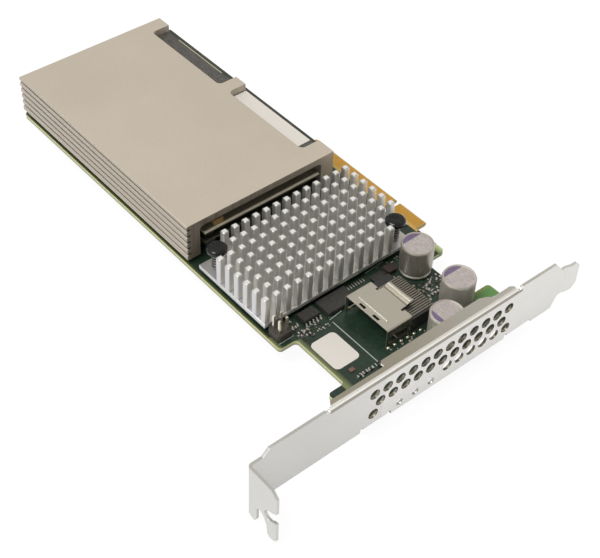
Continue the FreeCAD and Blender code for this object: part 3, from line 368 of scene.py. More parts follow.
# The pad's outer edge is painted as dark as a board, and a pale line along the pad is a painted highlight for
# the lit edge of the upper flash board beneath it.
PAD_OUTER = (0.03, 0.034, 0.028)
PAD_OUTER_EDGE = ((100, -97, 11), (165, -92.6, 13))
PAD_PAINTED_HIGHLIGHT = (0.75, 0.70, 0.45)
PAD_HIGHLIGHT_STRIP = ((132, -92.75, 11), (156, -92.43, 13))
gap_pad = grained("silicone gap pad", (0.045, 0.042, 0.038), (0.115, 0.109, 0.10), roughness=0.6,
                  grain=1600.0, cloud=700.0, share=0.9, bump=0.3)
paint_zone(gap_pad, PAD_OUTER, PAD_OUTER_EDGE, 0.8, all_sides=True)
paint_zone(gap_pad, PAD_PAINTED_HIGHLIGHT, PAD_HIGHLIGHT_STRIP, 0.6)
dress("thermal_pad", gap_pad)
label_paper = grained("blank label", (0.68, 0.645, 0.595), (0.60, 0.565, 0.52), roughness=0.5,
                      cloud=80.0, bump=0.05)
dress("module_label", label_paper)

# Finned cover: one extruded aluminium lid over the flash boards, blasted and anodised taupe.
# Its long wall is grooved into fins, and the other wall is milled away to three feet.
# Tubes hold it off the board, and screws from the solder side go through them into it.

BEVEL_ANGLE = math.radians(35)
WIDE_FACE = 1.3
MERGE_DISTANCE = 0.002
FLAT_ANGLE = math.radians(0.5)


def flattened_copy(node):
    """A CAD node's mesh with its loose triangles merged and its flat faces joined."""
    mesh = bmesh.new()
    mesh.from_mesh(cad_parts[node].data)
    bmesh.ops.remove_doubles(mesh, verts=mesh.verts, dist=MERGE_DISTANCE * MM)
    bmesh.ops.dissolve_limit(mesh, angle_limit=FLAT_ANGLE, verts=mesh.verts, edges=mesh.edges)
    return mesh


def sharpen(mesh, limit=BEVEL_ANGLE):
    """Narrow faces are smooth and wide ones flat, and the edges that turn sharply are kept sharp."""
    for face in mesh.faces:
        longest = max(edge.calc_length() for edge in face.edges)
        face.smooth = face.calc_area() < longest * WIDE_FACE * MM
    for edge in mesh.edges:
        edge.smooth = edge.calc_face_angle(0.0) < limit


def round_edges(mesh, edges, width, segments=2):
    """Rounds edges by a width in millimetres."""
    bmesh.ops.bevel(mesh, geom=edges, offset=width * MM, offset_type="OFFSET", segments=segments,
                    profile=0.5, affect="EDGES", clamp_overlap=True)


def piece(mesh, name, *materials):
    """Turns a bmesh into an object that rides on the card."""
    data = bpy.data.meshes.new(name)
    mesh.to_mesh(data)
    mesh.free()
    made = bpy.data.objects.new(name, data)
    bpy.context.scene.collection.objects.link(made)
    for material in materials:
        data.materials.append(material)
    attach(made, "root")
    return made


def eased(node, name, material, width, segments=2, crease=50):
    """A copy of a CAD node with its sharp edges rounded, which stands for the node."""
    mesh = flattened_copy(node)
    sharp = [edge for edge in mesh.edges if edge.calc_face_angle(0.0) > BEVEL_ANGLE]
    round_edges(mesh, sharp, width, segments)
    sharpen(mesh, math.radians(crease))
    made = piece(mesh, name, material)
    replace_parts(made, node)
    return made


cover_taupe = grained("blasted taupe aluminium", (0.575, 0.51, 0.42), (0.465, 0.41, 0.335), share=0.8,
                      grain=3500.0, cloud=25.0, roughness=0.5, spread=0.1, bump=0.2, metallic=0.3)

FIN_OUTER_Y = -37.14
NOSE_DEPTH = 0.12
GROOVE_DEPTH = 0.6
FIN_WALL_DEPTH = 1.7
FIN_TOP_Z = 14.2
GROOVE_PAINTED_SHADE = (0.10, 0.088, 0.07)
NOSE_PAINTED_SHADE = (0.43, 0.385, 0.325)
NOSE_FACES = 0.5


def darken_grooves(material):
    """Painted shade: the grooves between the fins are darkened, and the fins' outward faces, towards +Y, are
    painted a darker taupe.
    """
    tree, surface, place, old = finish_so_far(material)
    where = axes(tree, place, "Object")
    depth = shader(tree, "ShaderNodeMapRange", Value=where[1], From_Min=at(0, FIN_OUTER_Y - NOSE_DEPTH, 0).y,
                   From_Max=at(0, FIN_OUTER_Y - GROOVE_DEPTH, 0).y)
    wall = math_node(tree, "GREATER_THAN", where[1], at(0, FIN_OUTER_Y - FIN_WALL_DEPTH, 0).y)
    below = math_node(tree, "LESS_THAN", where[2], at(0, 0, FIN_TOP_Z).z)
    grooves = overlap(tree, depth.outputs[0], wall, below)
    nosed = blend_colours(tree, faces_along(tree, place, 1, NOSE_FACES), old, NOSE_PAINTED_SHADE)
    tree.links.new(blend_colours(tree, grooves, nosed, GROOVE_PAINTED_SHADE), surface.inputs["Base Color"])


CUT_END_PAINTED_SHADE = (0.34, 0.29, 0.23)
CUT_STREAK = (0.22, 0.185, 0.145)
CUT_END_PAINTED_LIGHT = (0.62, 0.55, 0.45)
CUT_END_PAINTED_LIGHT_SHARE = 0.8
CUT_END_SHADE_Y = -45
CUT_END_LIGHT_Y = -92
STREAK_SCALE = 900.0
STREAK_SQUEEZE = (1.0, 1.0, 0.06)
STREAK_FROM = 0.38
STREAK_TO = 0.62
CUT_END_FACES = -0.8


def streak_cut_ends(material):
    """The lid's sawn ends have fine upright streaks over painted shade, with painted light towards the far
    side.
    """
    tree, surface, place, old = finish_so_far(material)
    squeeze = shader(tree, "ShaderNodeMapping", Vector=place.outputs["Object"], Scale=STREAK_SQUEEZE)
    lines = shader(tree, "ShaderNodeTexNoise", Vector=squeeze.outputs[0], Scale=STREAK_SCALE, Detail=3.0)
    streaks = shader(tree, "ShaderNodeMapRange", Value=lines.outputs[0], From_Min=STREAK_FROM,
                     From_Max=STREAK_TO)
    cut = blend_colours(tree, streaks.outputs[0], CUT_END_PAINTED_SHADE, CUT_STREAK)
    across = shader(tree, "ShaderNodeMapRange", Value=axes(tree, place, "Object")[1],
                    From_Min=at(0, CUT_END_SHADE_Y, 0).y, From_Max=at(0, CUT_END_LIGHT_Y, 0).y, To_Max=CUT_END_PAINTED_LIGHT_SHARE)
    cut = blend_colours(tree, across.outputs[0], cut, CUT_END_PAINTED_LIGHT)
    on_end = faces_along(tree, place, 0, CUT_END_FACES)
    tree.links.new(blend_colours(tree, on_end, old, cut), surface.inputs["Base Color"])


darken_grooves(cover_taupe)
streak_cut_ends(cover_taupe)
eased("flash_cover", "finned_cover", cover_taupe, width=0.12)
for name in ("cover_spacers", "cover_screws"):
    dress(name, zinc_steel)

# Pin heat sink: extruded aluminium, cross-cut into a field of square pins, left plain.
# Two nylon push pins with wire springs go through the board and hold it on the controller chip.
# A soft pad lies between the chip and its base.

PIN_PITCH_X = 4.06
PIN_PITCH_Y = 3.857
PIN_ROWS = 8
PIN_COLUMNS = 15
BARE_CORNER = 2
PIN_SIDE = 1.95
PIN_TIP_BREAK = 0.32
PIN_SUNK = 0.1
SINK_BASE = 1.5
BASE_BREAK = 0.15
sink_low, sink_high = [in_card(corner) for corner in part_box("pin_heat_sink")]


def copies_tree():
    """Geometry Nodes: one object copied to each point, with the point's own turn and size."""
    tree = bpy.data.node_groups.new("copies at points", "GeometryNodeTree")
    for label, kind in (("Points", "Geometry"), ("Copy", "Object"), ("Size", "Vector"),
                        ("Finish", "Material")):
        tree.interface.new_socket(label, in_out="INPUT", socket_type="NodeSocket" + kind)
    tree.interface.new_socket("Copies", in_out="OUTPUT", socket_type="NodeSocketGeometry")
    nodes = tree.nodes
    given = nodes.new("NodeGroupInput").outputs
    source = nodes.new("GeometryNodeObjectInfo")
    tree.links.new(given["Copy"], source.inputs["Object"])
    turn = nodes.new("GeometryNodeInputNamedAttribute")
    turn.inputs["Name"].default_value = "turn"
    about = nodes.new("ShaderNodeCombineXYZ")
    tree.links.new(turn.outputs["Attribute"], about.inputs["Z"])
    own_size = nodes.new("GeometryNodeInputNamedAttribute")
    own_size.data_type = "FLOAT_VECTOR"
    own_size.inputs["Name"].default_value = "size"
    size = nodes.new("ShaderNodeVectorMath")
    size.operation = "MULTIPLY"
    tree.links.new(given["Size"], size.inputs[0])
    tree.links.new(own_size.outputs["Attribute"], size.inputs[1])
    spread = nodes.new("GeometryNodeInstanceOnPoints")
    tree.links.new(given["Points"], spread.inputs["Points"])
    tree.links.new(source.outputs["Geometry"], spread.inputs["Instance"])
    tree.links.new(about.outputs[0], spread.inputs["Rotation"])
    tree.links.new(size.outputs[0], spread.inputs["Scale"])
    real = nodes.new("GeometryNodeRealizeInstances")
    tree.links.new(spread.outputs[0], real.inputs[0])
    finish = nodes.new("GeometryNodeSetMaterial")
    tree.links.new(real.outputs[0], finish.inputs["Geometry"])
    tree.links.new(given["Finish"], finish.inputs["Material"])
    tree.links.new(finish.outputs[0], nodes.new("NodeGroupOutput").inputs[0])
    return tree


COPIES = copies_tree()
WHOLE_SIZE = (1.0, 1.0, 1.0)


def copies(name, sample, places, material):
    """One piece made of a sample mesh copied to places.

    A place is x, y and z in the card's own frame, then a turn and a size where it has its own.
    """
    sample_data = bpy.data.meshes.new(name + "_sample")
    sample.to_mesh(sample_data)
    sample.free()
    one = bpy.data.objects.new(name + "_sample", sample_data)
    points = bpy.data.meshes.new(name + "_points")
    points.from_pydata([at(*place[:3]) for place in places], [], [])
    turns = points.attributes.new("turn", "FLOAT", "POINT")
    turns.data.foreach_set("value", [place[3] if len(place) > 3 else 0.0 for place in places])
    sizes = points.attributes.new("size", "FLOAT_VECTOR", "POINT")
    for item, place in zip(sizes.data, places):
        item.vector = place[4] if len(place) > 4 else WHOLE_SIZE
    holder = bpy.data.objects.new(name + "_points", points)
    for helper in (one, holder):
        bpy.context.scene.collection.objects.link(helper)
    modifier = holder.modifiers.new("copies", "NODES")
    modifier.node_group = COPIES
    values = {"Copy": one, "Size": WHOLE_SIZE, "Finish": material}
    for socket in COPIES.interface.items_tree:
        if socket.in_out == "INPUT" and socket.name in values:
            modifier[socket.identifier] = values[socket.name]
    graph = bpy.context.evaluated_depsgraph_get()
    made = bpy.data.meshes.new_from_object(holder.evaluated_get(graph), depsgraph=graph)
    mesh = bmesh.new()
    mesh.from_mesh(made)
    sharpen(mesh)
    bpy.data.objects.remove(holder)
    bpy.data.objects.remove(one)
    bpy.data.meshes.remove(made)
    return piece(mesh, name, material)


def eased_box(length, width, height, bevel, segments=2):
    """A sample box in metres that stands on its own origin, with rounded edges."""
    mesh = bmesh.new()
    x, y = length * MM / 2, width * MM / 2
    points = []
    for z in (0.0, height * MM):
        for i, j in ((-1, -1), (1, -1), (1, 1), (-1, 1)):
            points.append(mesh.verts.new((i * x, j * y, z)))
    for quad in ((3, 2, 1, 0), (4, 5, 6, 7), (0, 1, 5, 4), (1, 2, 6, 5), (2, 3, 7, 6), (3, 0, 4, 7)):
        mesh.faces.new([points[i] for i in quad])
    if bevel:
        round_edges(mesh, list(mesh.edges), bevel, segments)
    return mesh


plain_aluminium = grained("plain cut aluminium", (0.73, 0.72, 0.69), (0.52, 0.515, 0.50), share=0.6,
                          grain=2500.0, cloud=400.0, roughness=0.38, spread=0.3, metallic=0.8, bump=0.3)
# Painted shade: the outer row of pins, along the board's edge by the fins, is painted darker than the rest.
LEFT_ROW_PAINTED_SHADE = (0.62, 0.62, 0.63)
LEFT_ROW = ((38, -39.8, 1.5), (73, -37, 15))
PIN_TIP_Z = 12.3
TIP_PAINTED_HIGHLIGHT = (1.0, 1.0, 0.99)
NEAR_SIDE_PAINTED_LIGHT = (0.86, 0.845, 0.81)
TIP_BORDER_PAINTED_SHADE = (0.55, 0.545, 0.525)
TIP_SQUARE_FROM = 0.34
TIP_SQUARE_TO = 1.58
NEAR_FACES = -0.7
TIP_FACES = 0.3


def paint_pins(material):
    """Painted light on the sides towards the bracket; each tip gets a painted highlight, a bright square in a
    border painted darker.
    """
    tree, surface, place, old = finish_so_far(material)
    where = axes(tree, place, "Object")
    colour = blend_colours(tree, faces_along(tree, place, 0, NEAR_FACES), old, NEAR_SIDE_PAINTED_LIGHT)
    start = at(sink_low.x, sink_high.y, 0)
    high = math_node(tree, "GREATER_THAN", where[2], at(0, 0, PIN_TIP_Z).z)
    tip = overlap(tree, high, faces_along(tree, place, 2, TIP_FACES))
    colour = blend_colours(tree, tip, colour, TIP_BORDER_PAINTED_SHADE)
    along = math_node(tree, "SUBTRACT", where[0], start.x)
    down = math_node(tree, "SUBTRACT", start.y, where[1])
    for distance, pitch in ((along, PIN_PITCH_X), (down, PIN_PITCH_Y)):
        step = math_node(tree, "FRACT", math_node(tree, "DIVIDE", distance, pitch * MM))
        tip = overlap(tree, tip, within(tree, step, TIP_SQUARE_FROM / pitch, TIP_SQUARE_TO / pitch))
    tree.links.new(blend_colours(tree, tip, colour, TIP_PAINTED_HIGHLIGHT), surface.inputs["Base Color"])


paint_zone(plain_aluminium, LEFT_ROW_PAINTED_SHADE, LEFT_ROW, all_sides=True)
paint_pins(plain_aluminium)


def pin_places():
    """A grid of pins, bare in the two corners where the push pins stand."""
    places = []
    for row in range(PIN_ROWS):
        for column in range(PIN_COLUMNS):
            near_corner = row < BARE_CORNER and column >= PIN_COLUMNS - BARE_CORNER
            far_corner = row >= PIN_ROWS - BARE_CORNER and column < BARE_CORNER
            if not near_corner and not far_corner:
                places.append((sink_low.x + PIN_SIDE / 2 + row * PIN_PITCH_X,
                               sink_high.y - PIN_SIDE / 2 - column * PIN_PITCH_Y,
                               sink_low.z + SINK_BASE - PIN_SUNK))
    return places


pin_height = sink_high.z - sink_low.z - SINK_BASE + PIN_SUNK
sink_pins = copies("sink_pins", eased_box(PIN_SIDE, PIN_SIDE, pin_height, PIN_TIP_BREAK), pin_places(),
                   plain_aluminium)
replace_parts(sink_pins, "pin_heat_sink")
base = eased_box(sink_high.x - sink_low.x, sink_high.y - sink_low.y, SINK_BASE, BASE_BREAK)
base_place = at((sink_low.x + sink_high.x) / 2, (sink_low.y + sink_high.y) / 2, sink_low.z)
bmesh.ops.translate(base, verts=base.verts, vec=base_place)
sharpen(base)
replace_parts(piece(base, "sink_base", plain_aluminium), "pin_heat_sink")

nylon = grained("black nylon", (0.003, 0.004, 0.004), (0.012, 0.013, 0.013), roughness=0.14, grain=600.0,
                share=0.8, bump=0.7, bump_depth=0.0003, Specular_IOR_Level=0.35)
eased("push_pins", "nylon_push_pins", nylon, width=0.12)
dress("push_pin_springs", grained("spring wire", (0.25, 0.24, 0.23), (0.16, 0.16, 0.16), metallic=1.0,
                                  roughness=0.3))
dress("controller_pad", gap_pad)
dress("controller_chip", grained("chip substrate", (0.02, 0.08, 0.04), (0.03, 0.1, 0.05), roughness=0.4))

# Can capacitors: drawn aluminium cans with a thin grey coat, crimped on a rubber disc.
# A coloured segment on the top marks the negative side.
# Their tinned wire leads go through the board and are soldered.

CAN_TOP_SINK = 0.3
TOP_MATCH = 0.05
FLAT_TOP = 0.9
can_side = grained("coated can", (0.48, 0.445, 0.385), (0.40, 0.37, 0.32), roughness=0.4, metallic=0.8,
                   share=0.4, cloud=150.0, bump=0.1)
# Painted light: the middle and front cans get a lighter copy of the coat.
can_side_painted_light = grained("coated can with painted light", (0.64, 0.60, 0.53), (0.54, 0.505, 0.45), roughness=0.5,
                       metallic=0.7, share=0.4, cloud=150.0, bump=0.1)
can_top = grained("can top", (0.55, 0.50, 0.475), (0.33, 0.29, 0.295), roughness=0.4, metallic=0.3,
                  share=0.8, grain=1500.0, cloud=600.0, bump=0.1)
can_mark = grained("purple mark", (0.135, 0.095, 0.185), (0.21, 0.165, 0.25), roughness=0.45, share=0.8,
                   grain=1500.0)


def can(node, name, side, mark_angle, mark_offset):
    """A copy of the can with its flat top split into the coat and the coloured segment."""
    low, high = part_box(node)
    middle = (low + high) / 2
    disc_z = high.z - CAN_TOP_SINK * MM
    mesh = flattened_copy(node)
    direction = Vector((math.cos(mark_angle), math.sin(mark_angle), 0))
    top_faces = [face for face in mesh.faces if face.normal.z > FLAT_TOP
                 and abs(face.calc_center_median().z - disc_z) < TOP_MATCH * MM]
    geometry = set(top_faces)
    for face in top_faces:
        geometry.update(face.edges)
        geometry.update(face.verts)
    bmesh.ops.bisect_plane(mesh, geom=list(geometry), plane_co=middle + direction * mark_offset * MM,
                           plane_no=direction)
    for face in mesh.faces:
        centre = face.calc_center_median()
        if face.normal.z > FLAT_TOP and centre.z > high.z - 2 * CAN_TOP_SINK * MM:
            beyond = (centre - middle).dot(direction) > mark_offset * MM
            on_disc = abs(centre.z - disc_z) < TOP_MATCH * MM
            face.material_index = 2 if beyond and on_disc else 1
    sharpen(mesh)
    made = piece(mesh, name, side, can_top, can_mark)
    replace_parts(made, node)


can("capacitor_rear", "can_rear", can_side, mark_angle=0.0, mark_offset=2.5)
can("capacitor_middle", "can_middle", can_side_painted_light, mark_angle=0.0, mark_offset=2.5)
can("capacitor_front", "can_front", can_side_painted_light, mark_angle=math.pi / 2, mark_offset=2.7)
dress("capacitor_seals", grained("seal rubber", (0.015, 0.015, 0.015), (0.03, 0.03, 0.03), roughness=0.7))
tin = grained("tin plate", (0.80, 0.79, 0.76), (0.66, 0.65, 0.62), metallic=1.0, roughness=0.3)
dress("capacitor_leads", tin)

# Cable connector: a folded steel shell over a black moulding, soldered to the board.
# The plug goes in from the card's upper edge, and the contact tails come out at the back.
# Their solder joints stand along its side as small bright domes.

shell_steel = grained("satin shell steel", (0.66, 0.63, 0.55), (0.52, 0.49, 0.42), metallic=0.95,
                      roughness=0.34, grain=3000.0, bump=0.1)
# Painted shade on part of the shell's crest, and on the shell's side towards the bracket.
CREST_PAINTED_SHADE = (0.25, 0.22, 0.17)
CREST_LENGTH = 4.5
shell_back = in_card(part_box("connector_shell")[0]).y + CREST_LENGTH
SHELL_CREST = ((18, shell_back - 2.7, 6.22), (32, shell_back - 1.0, 8))
SHELL_SIDE_PAINTED_SHADE = (0.15, 0.135, 0.10)
SHELL_SIDE = ((15.5, -76, -2), (16.1, -56, 5.7))
paint_zone(shell_steel, CREST_PAINTED_SHADE, SHELL_CREST, 0.85, all_sides=True)
paint_zone(shell_steel, SHELL_SIDE_PAINTED_SHADE, SHELL_SIDE, 0.8, all_sides=True)
eased("connector_shell", "steel_shell", shell_steel, width=0.04, segments=1, crease=14)
dress("connector_housing", socket_black)

tail_brown = grained("dull contact tails", (0.40, 0.37, 0.32), (0.26, 0.235, 0.2), metallic=1.0,
                     roughness=0.35, share=0.7, grain=1500.0)
for name in ("connector_upper_tails", "connector_lower_tails"):
    dress(name, tail_brown)

JOINT_COUNT = 6
JOINT_X = 15.2
JOINT_Y = -61.0
JOINT_PITCH = 2.35
JOINT_DRIFT = 0.1
JOINT_RADIUS = 0.62
JOINT_FLATNESS = 0.8
JOINT_SUNK = 0.02
joint = bmesh.new()
bmesh.ops.create_uvsphere(joint, u_segments=14, v_segments=8, radius=JOINT_RADIUS * MM)
for corner in joint.verts:
    corner.co.z = max(corner.co.z * JOINT_FLATNESS, -JOINT_SUNK * MM)
solder = grained("reflowed solder", (0.56, 0.53, 0.45), (0.36, 0.34, 0.29), metallic=1.0, roughness=0.3,
                 bump=0.4)
joint_places = [(JOINT_X - i * JOINT_DRIFT, JOINT_Y - i * JOINT_PITCH, 0.0) for i in range(JOINT_COUNT)]
copies("solder_blobs", joint, joint_places, solder)

# Pin header: a moulded plastic base with some dust on it, and four square pins.
# The pins are brass with a pale plate, pressed through the base and soldered in the board.

dress("header_base", grained("dusty header plastic", (0.045, 0.038, 0.030), (0.028, 0.025, 0.022),
                             roughness=0.5))
dress("header_pins", grained("pale plated pin", (0.88, 0.84, 0.74), (0.78, 0.72, 0.58), metallic=1.0,
                             roughness=0.22, bump=0.1))

# Small surface-mount parts: moulded packages, and fired ceramic blocks with tinned ends.
# They are placed by machine and soldered flat on the board in one pass through an oven.

PART_END = 0.38


def islands(mesh):
    """The mesh's faces, grouped by the separate solids they belong to."""
    left = set(mesh.faces)
    groups = []
    while left:
        group = [left.pop()]
        for face in group:
            for edge in face.edges:
                for near in edge.link_faces:
                    if near in left:
                        left.discard(near)
                        group.append(near)
        groups.append(group)
    return groups


def tipped(node, name, body, end):
    """A copy of a node's small blocks, with another finish on both ends of each."""
    mesh = flattened_copy(node)
    for group in islands(mesh):
        ys = [corner.co.y for face in group for corner in face.verts]
        for face in group:
            y = face.calc_center_median().y
            if min(max(ys) - y, y - min(ys)) < PART_END * MM:
                face.material_index = 1
    sharpen(mesh)
    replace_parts(piece(mesh, name, body, end), node)


glazed = grained("glazed film", (0.03, 0.03, 0.035), (0.05, 0.05, 0.05), roughness=0.4)
ceramic = grained("fired ceramic", (0.17, 0.13, 0.095), (0.11, 0.085, 0.065), roughness=0.5)
tipped("chip_resistors", "film_resistors", glazed, tin)
tipped("chip_capacitors", "ceramic_capacitors", ceramic, tin)
for name in ("outline_chip", "bridge_chip"):
    dress(name, epoxy)
dress("power_coil", grained("dark red moulding", (0.034, 0.018, 0.017), (0.022, 0.013, 0.012),
                            roughness=0.45))
for name in ("chip_leads", "coil_terminals"):
    dress(name, tin)


def unit_box(bevel):
    """A sample box of one millimetre, which each copy's own size stretches."""
    return eased_box(1, 1, 1, bevel, segments=1)


SPECK_BREAK = 0.1
brick = grained("fired red ceramic", (0.17, 0.085, 0.065), (0.11, 0.06, 0.05), roughness=0.5)
RED_PLACES = [(15.4, -47.8, 0.0, 0.0, (1.3, 1.6, 0.4))]
# The larger black block, behind the connector's tails, stands for a dark patch seen there.
BLACK_PLACES = [(11.8, -55.3, 0.0, 0.0, (1.6, 1.7, 1.0)), (37.0, -77.2, 0.0, 0.0, (3.2, 4.6, 0.9))]
copies("red_part", unit_box(SPECK_BREAK), RED_PLACES, brick)
copies("black_parts", unit_box(SPECK_BREAK), BLACK_PLACES, epoxy)

# Print and solder on the board: lines of pale screened ink, tinned pads, and dots of solder.
# Tiny dark ceramic parts stand among the dots, closest behind the cable connector.
# The board's blank paper label is stuck on in front of it.

PRINT_HEIGHT = 0.03
TICK_COUNT = 6
TICK_PITCH = 1.12
PAD_HEIGHT = 0.12
PAD_COUNT = 8
PAD_PITCH = 0.97


def stroke(x0, y0, x1, y1, width, height):
    """Place, turn and size of a thin strip between two points of the board."""
    length = math.hypot(x1 - x0, y1 - y0)
    return (x0 + x1) / 2, (y0 + y1) / 2, 0.0, math.atan2(y1 - y0, x1 - x0), (length, width, height)


print_lines = [
    (32.1, -55.4, 13.3, -55.4, 0.28),
    (35.0, -62.5, 34.1, -55.6, 0.26),
    (33.9, -60.3, 33.3, -55.3, 0.24),
    (41.0, -75.6, 41.4, -83.0, 0.32),
    (34.9, -38.2, 34.9, -43.4, 0.2),
    (34.9, -43.4, 40.4, -43.4, 0.2),
]
print_lines += [(12.2, -48.6 - i * TICK_PITCH, 13.3, -48.7 - i * TICK_PITCH, 0.3) for i in range(TICK_COUNT)]
print_grey = grained("pale print", (0.42, 0.47, 0.44), (0.30, 0.35, 0.32), roughness=0.6, share=0.7,
                     grain=1500.0)
copies("board_print", unit_box(0), [stroke(*line, PRINT_HEIGHT) for line in print_lines], print_grey)

pads = [(38.7, -66.5 - i * PAD_PITCH, 40.2, -66.6 - i * PAD_PITCH, 0.34) for i in range(PAD_COUNT)]
pads += [(36.6, -44.9, 37.9, -45.3, 0.4), (36.8, -46.7, 38.0, -47.1, 0.4)]
copies("solder_pads", unit_box(0), [stroke(*pad, PAD_HEIGHT) for pad in pads], tin)

RANDOM_SEED = 11
CLEARANCE = 0.3
taken = [[in_card(corner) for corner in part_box(node)] for node in (
    "connector_housing", "connector_upper_tails", "outline_chip", "bridge_chip", "header_base", "board_label",
    "power_coil", "capacitor_rear", "capacitor_middle", "capacitor_front")]
draw = random.Random(RANDOM_SEED)


def is_taken(x, y):
    """Whether a place on the board lies under one of the larger parts."""
    return any(low.x - CLEARANCE < x < high.x + CLEARANCE and low.y - CLEARANCE < y < high.y + CLEARANCE
               for low, high in taken)


def free_spots(count, low, high, least, most, height):
    """Random places on open board between two corners, each with a size of its own."""
    spots = []
    while len(spots) < count:
        x, y = draw.uniform(low[0], high[0]), draw.uniform(low[1], high[1])
        side = draw.uniform(least, most)
        turn = draw.choice((0.0, math.pi / 2))
        if not is_taken(x, y):
            spots.append((x, y, 0.0, turn, (side, side * draw.uniform(0.6, 1.0), height)))
    return spots


DOT_BREAK = 0.2
DOT_FIELDS = (
    (46, (20.5, -92.5), (29.3, -81.6), 0.3, 0.75, 0.12),
    (16, (38.4, -91.5), (40.6, -83.4), 0.3, 0.6, 0.12),
    (16, (33.0, -84.2), (40.6, -79.5), 0.25, 0.55, 0.12),
    (26, (31.5, -54.5), (36.0, -43.6), 0.3, 0.6, 0.12),
    (18, (4.0, -74.0), (14.6, -58.0), 0.4, 0.8, 0.15),
    (14, (3.5, -52.0), (12.0, -44.5), 0.3, 0.6, 0.12),
)
DARK_FIELDS = (
    (18, (20.5, -92.5), (29.3, -81.6), 0.5, 1.1, 0.4),
    (12, (31.5, -54.5), (36.5, -43.6), 0.5, 1.0, 0.35),
)
dots = [spot for field in DOT_FIELDS for spot in free_spots(*field)]
copies("solder_dots", unit_box(DOT_BREAK), dots, tin)
drab = grained("dull ceramic", (0.050, 0.042, 0.034), (0.022, 0.02, 0.018), roughness=0.5, grain=1200.0)
dark_parts = [spot for field in DARK_FIELDS for spot in free_spots(*field)]
copies("tiny_parts", unit_box(SPECK_BREAK), dark_parts, drab)
dress("board_label", label_paper)

# Bracket: one sheet of nickel-plated steel, punched with vents and folded, screwed to the board.
# The tab takes the chassis screw, and the tongue goes into the chassis floor.

bracket_steel = grained("satin nickel", (0.80, 0.79, 0.765), (0.74, 0.73, 0.705), share=0.4, grain=2500.0,
                        cloud=40.0, roughness=0.36, spread=0.15, metallic=0.9, bump=0.06)
# Painted shade: the tab half of the bracket is darker, fading out along the face.
TAB_END_PAINTED_SHADE = (0.64, 0.635, 0.62)
# Painted shade on the flange's top, fading out towards the tongue.
FLANGE_PAINTED_SHADE = (0.44, 0.41, 0.335)
# A painted highlight along the fold's bend, with a painted dark reflection just below it on the face.
FOLD_PAINTED_REFLECTION = (0.36, 0.335, 0.285)
FOLD_PAINTED_HIGHLIGHT = (1.0, 0.99, 0.95)
# Painted shade on the walls of the vents, lighter in the small ones.
VENT_WALL_PAINTED_SHADE = (0.29, 0.265, 0.215)
SMALL_VENT_WALL_PAINTED_SHADE = (0.70, 0.69, 0.66)
FLANGE_START_Y = -26.1
FOLD_END_Y = -96
fold_z = in_card(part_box("bracket")[1]).z
TAB_HALF = ((-12, -45, -20), (8, 1, 14.5))
FLANGE = ((-1, -121, fold_z - 0.5), (8, FLANGE_START_Y, 16))
BELOW_FOLD = ((-0.1, FOLD_END_Y, fold_z - 1.9), (0.4, FLANGE_START_Y, fold_z - 0.7))
FOLD = ((-0.1, FOLD_END_Y, fold_z - 0.7), (0.95, FLANGE_START_Y, 16))
VENTS = ((-1, -98, -5), (2, -38, fold_z - 2))
SMALL_VENTS = ((-1, -65, -4), (2, -49, -0.2))
OUTER_FACE = -0.95


def paint_vent_walls(material, colour, zone):
    """The walls of the punched vents get painted shade; the sheet's outer face keeps its colour."""
    tree, surface, place, old = finish_so_far(material)
    walls = math_node(tree, "SUBTRACT", 1.0, faces_along(tree, place, 0, OUTER_FACE))
    mask = overlap(tree, zone_mask(tree, place, *zone), walls)
    tree.links.new(blend_colours(tree, mask, old, colour), surface.inputs["Base Color"])


paint_zone(bracket_steel, TAB_END_PAINTED_SHADE, TAB_HALF, all_sides=True, fade=(-20, -60))
paint_zone(bracket_steel, FLANGE_PAINTED_SHADE, FLANGE, fade=(-50, -125))
paint_zone(bracket_steel, FOLD_PAINTED_REFLECTION, BELOW_FOLD, all_sides=True)
paint_zone(bracket_steel, FOLD_PAINTED_HIGHLIGHT, FOLD, all_sides=True)
paint_vent_walls(bracket_steel, VENT_WALL_PAINTED_SHADE, VENTS)
paint_vent_walls(bracket_steel, SMALL_VENT_WALL_PAINTED_SHADE, SMALL_VENTS)
eased("bracket", "folded_bracket", bracket_steel, width=0.1)
dress("bracket_screws", zinc_steel)

# Studio: a pale floor that the camera sees as white, and a white world, darker overhead.
# One square lamp stands over the card, and the camera has the photograph's place and lens.

FLOOR_SIZE = 6.0
FLOOR_GAP = 0.0002
FLOOR_COLOUR = (0.9, 0.9, 0.9)
FLOOR_LIGHT = 1.04
FLOOR_GLOW = 0.9
FLOOR_SHINE = 0.6
WHITE = (1, 1, 1)
floor_mesh = bmesh.new()
bmesh.ops.create_grid(floor_mesh, x_segments=1, y_segments=1, size=FLOOR_SIZE / 2)
floor_data = bpy.data.meshes.new("floor")
floor_mesh.to_mesh(floor_data)
floor_mesh.free()
floor = bpy.data.objects.new("floor", floor_data)
bpy.context.scene.collection.objects.link(floor)
floor.location = (0, 0, cad_low.z - FLOOR_GAP)
floor_white = bpy.data.materials.new("pale floor")
floor_white.use_nodes = True
floor_tree = floor_white.node_tree
floor_surface = floor_tree.nodes["Principled BSDF"]
for label, value in (("Base Color", FLOOR_COLOUR), ("Roughness", 1.0), ("Specular IOR Level", 0.0)):
    feed(floor_tree, floor_surface.inputs[label], value)
floor_glow = shader(floor_tree, "ShaderNodeEmission", Color=WHITE, Strength=FLOOR_LIGHT)
floor_path = floor_tree.nodes.new("ShaderNodeLightPath")
floor_seen = math_node(floor_tree, "MULTIPLY", floor_path.outputs["Is Camera Ray"], FLOOR_GLOW)
floor_shine = math_node(floor_tree, "MULTIPLY", floor_path.outputs["Is Glossy Ray"], FLOOR_SHINE)
floor_share = math_node(floor_tree, "MAXIMUM", floor_seen, floor_shine)
floor_mix = shader(floor_tree, "ShaderNodeMixShader", Fac=floor_share)
floor_tree.links.new(floor_surface.outputs[0], floor_mix.inputs[1])
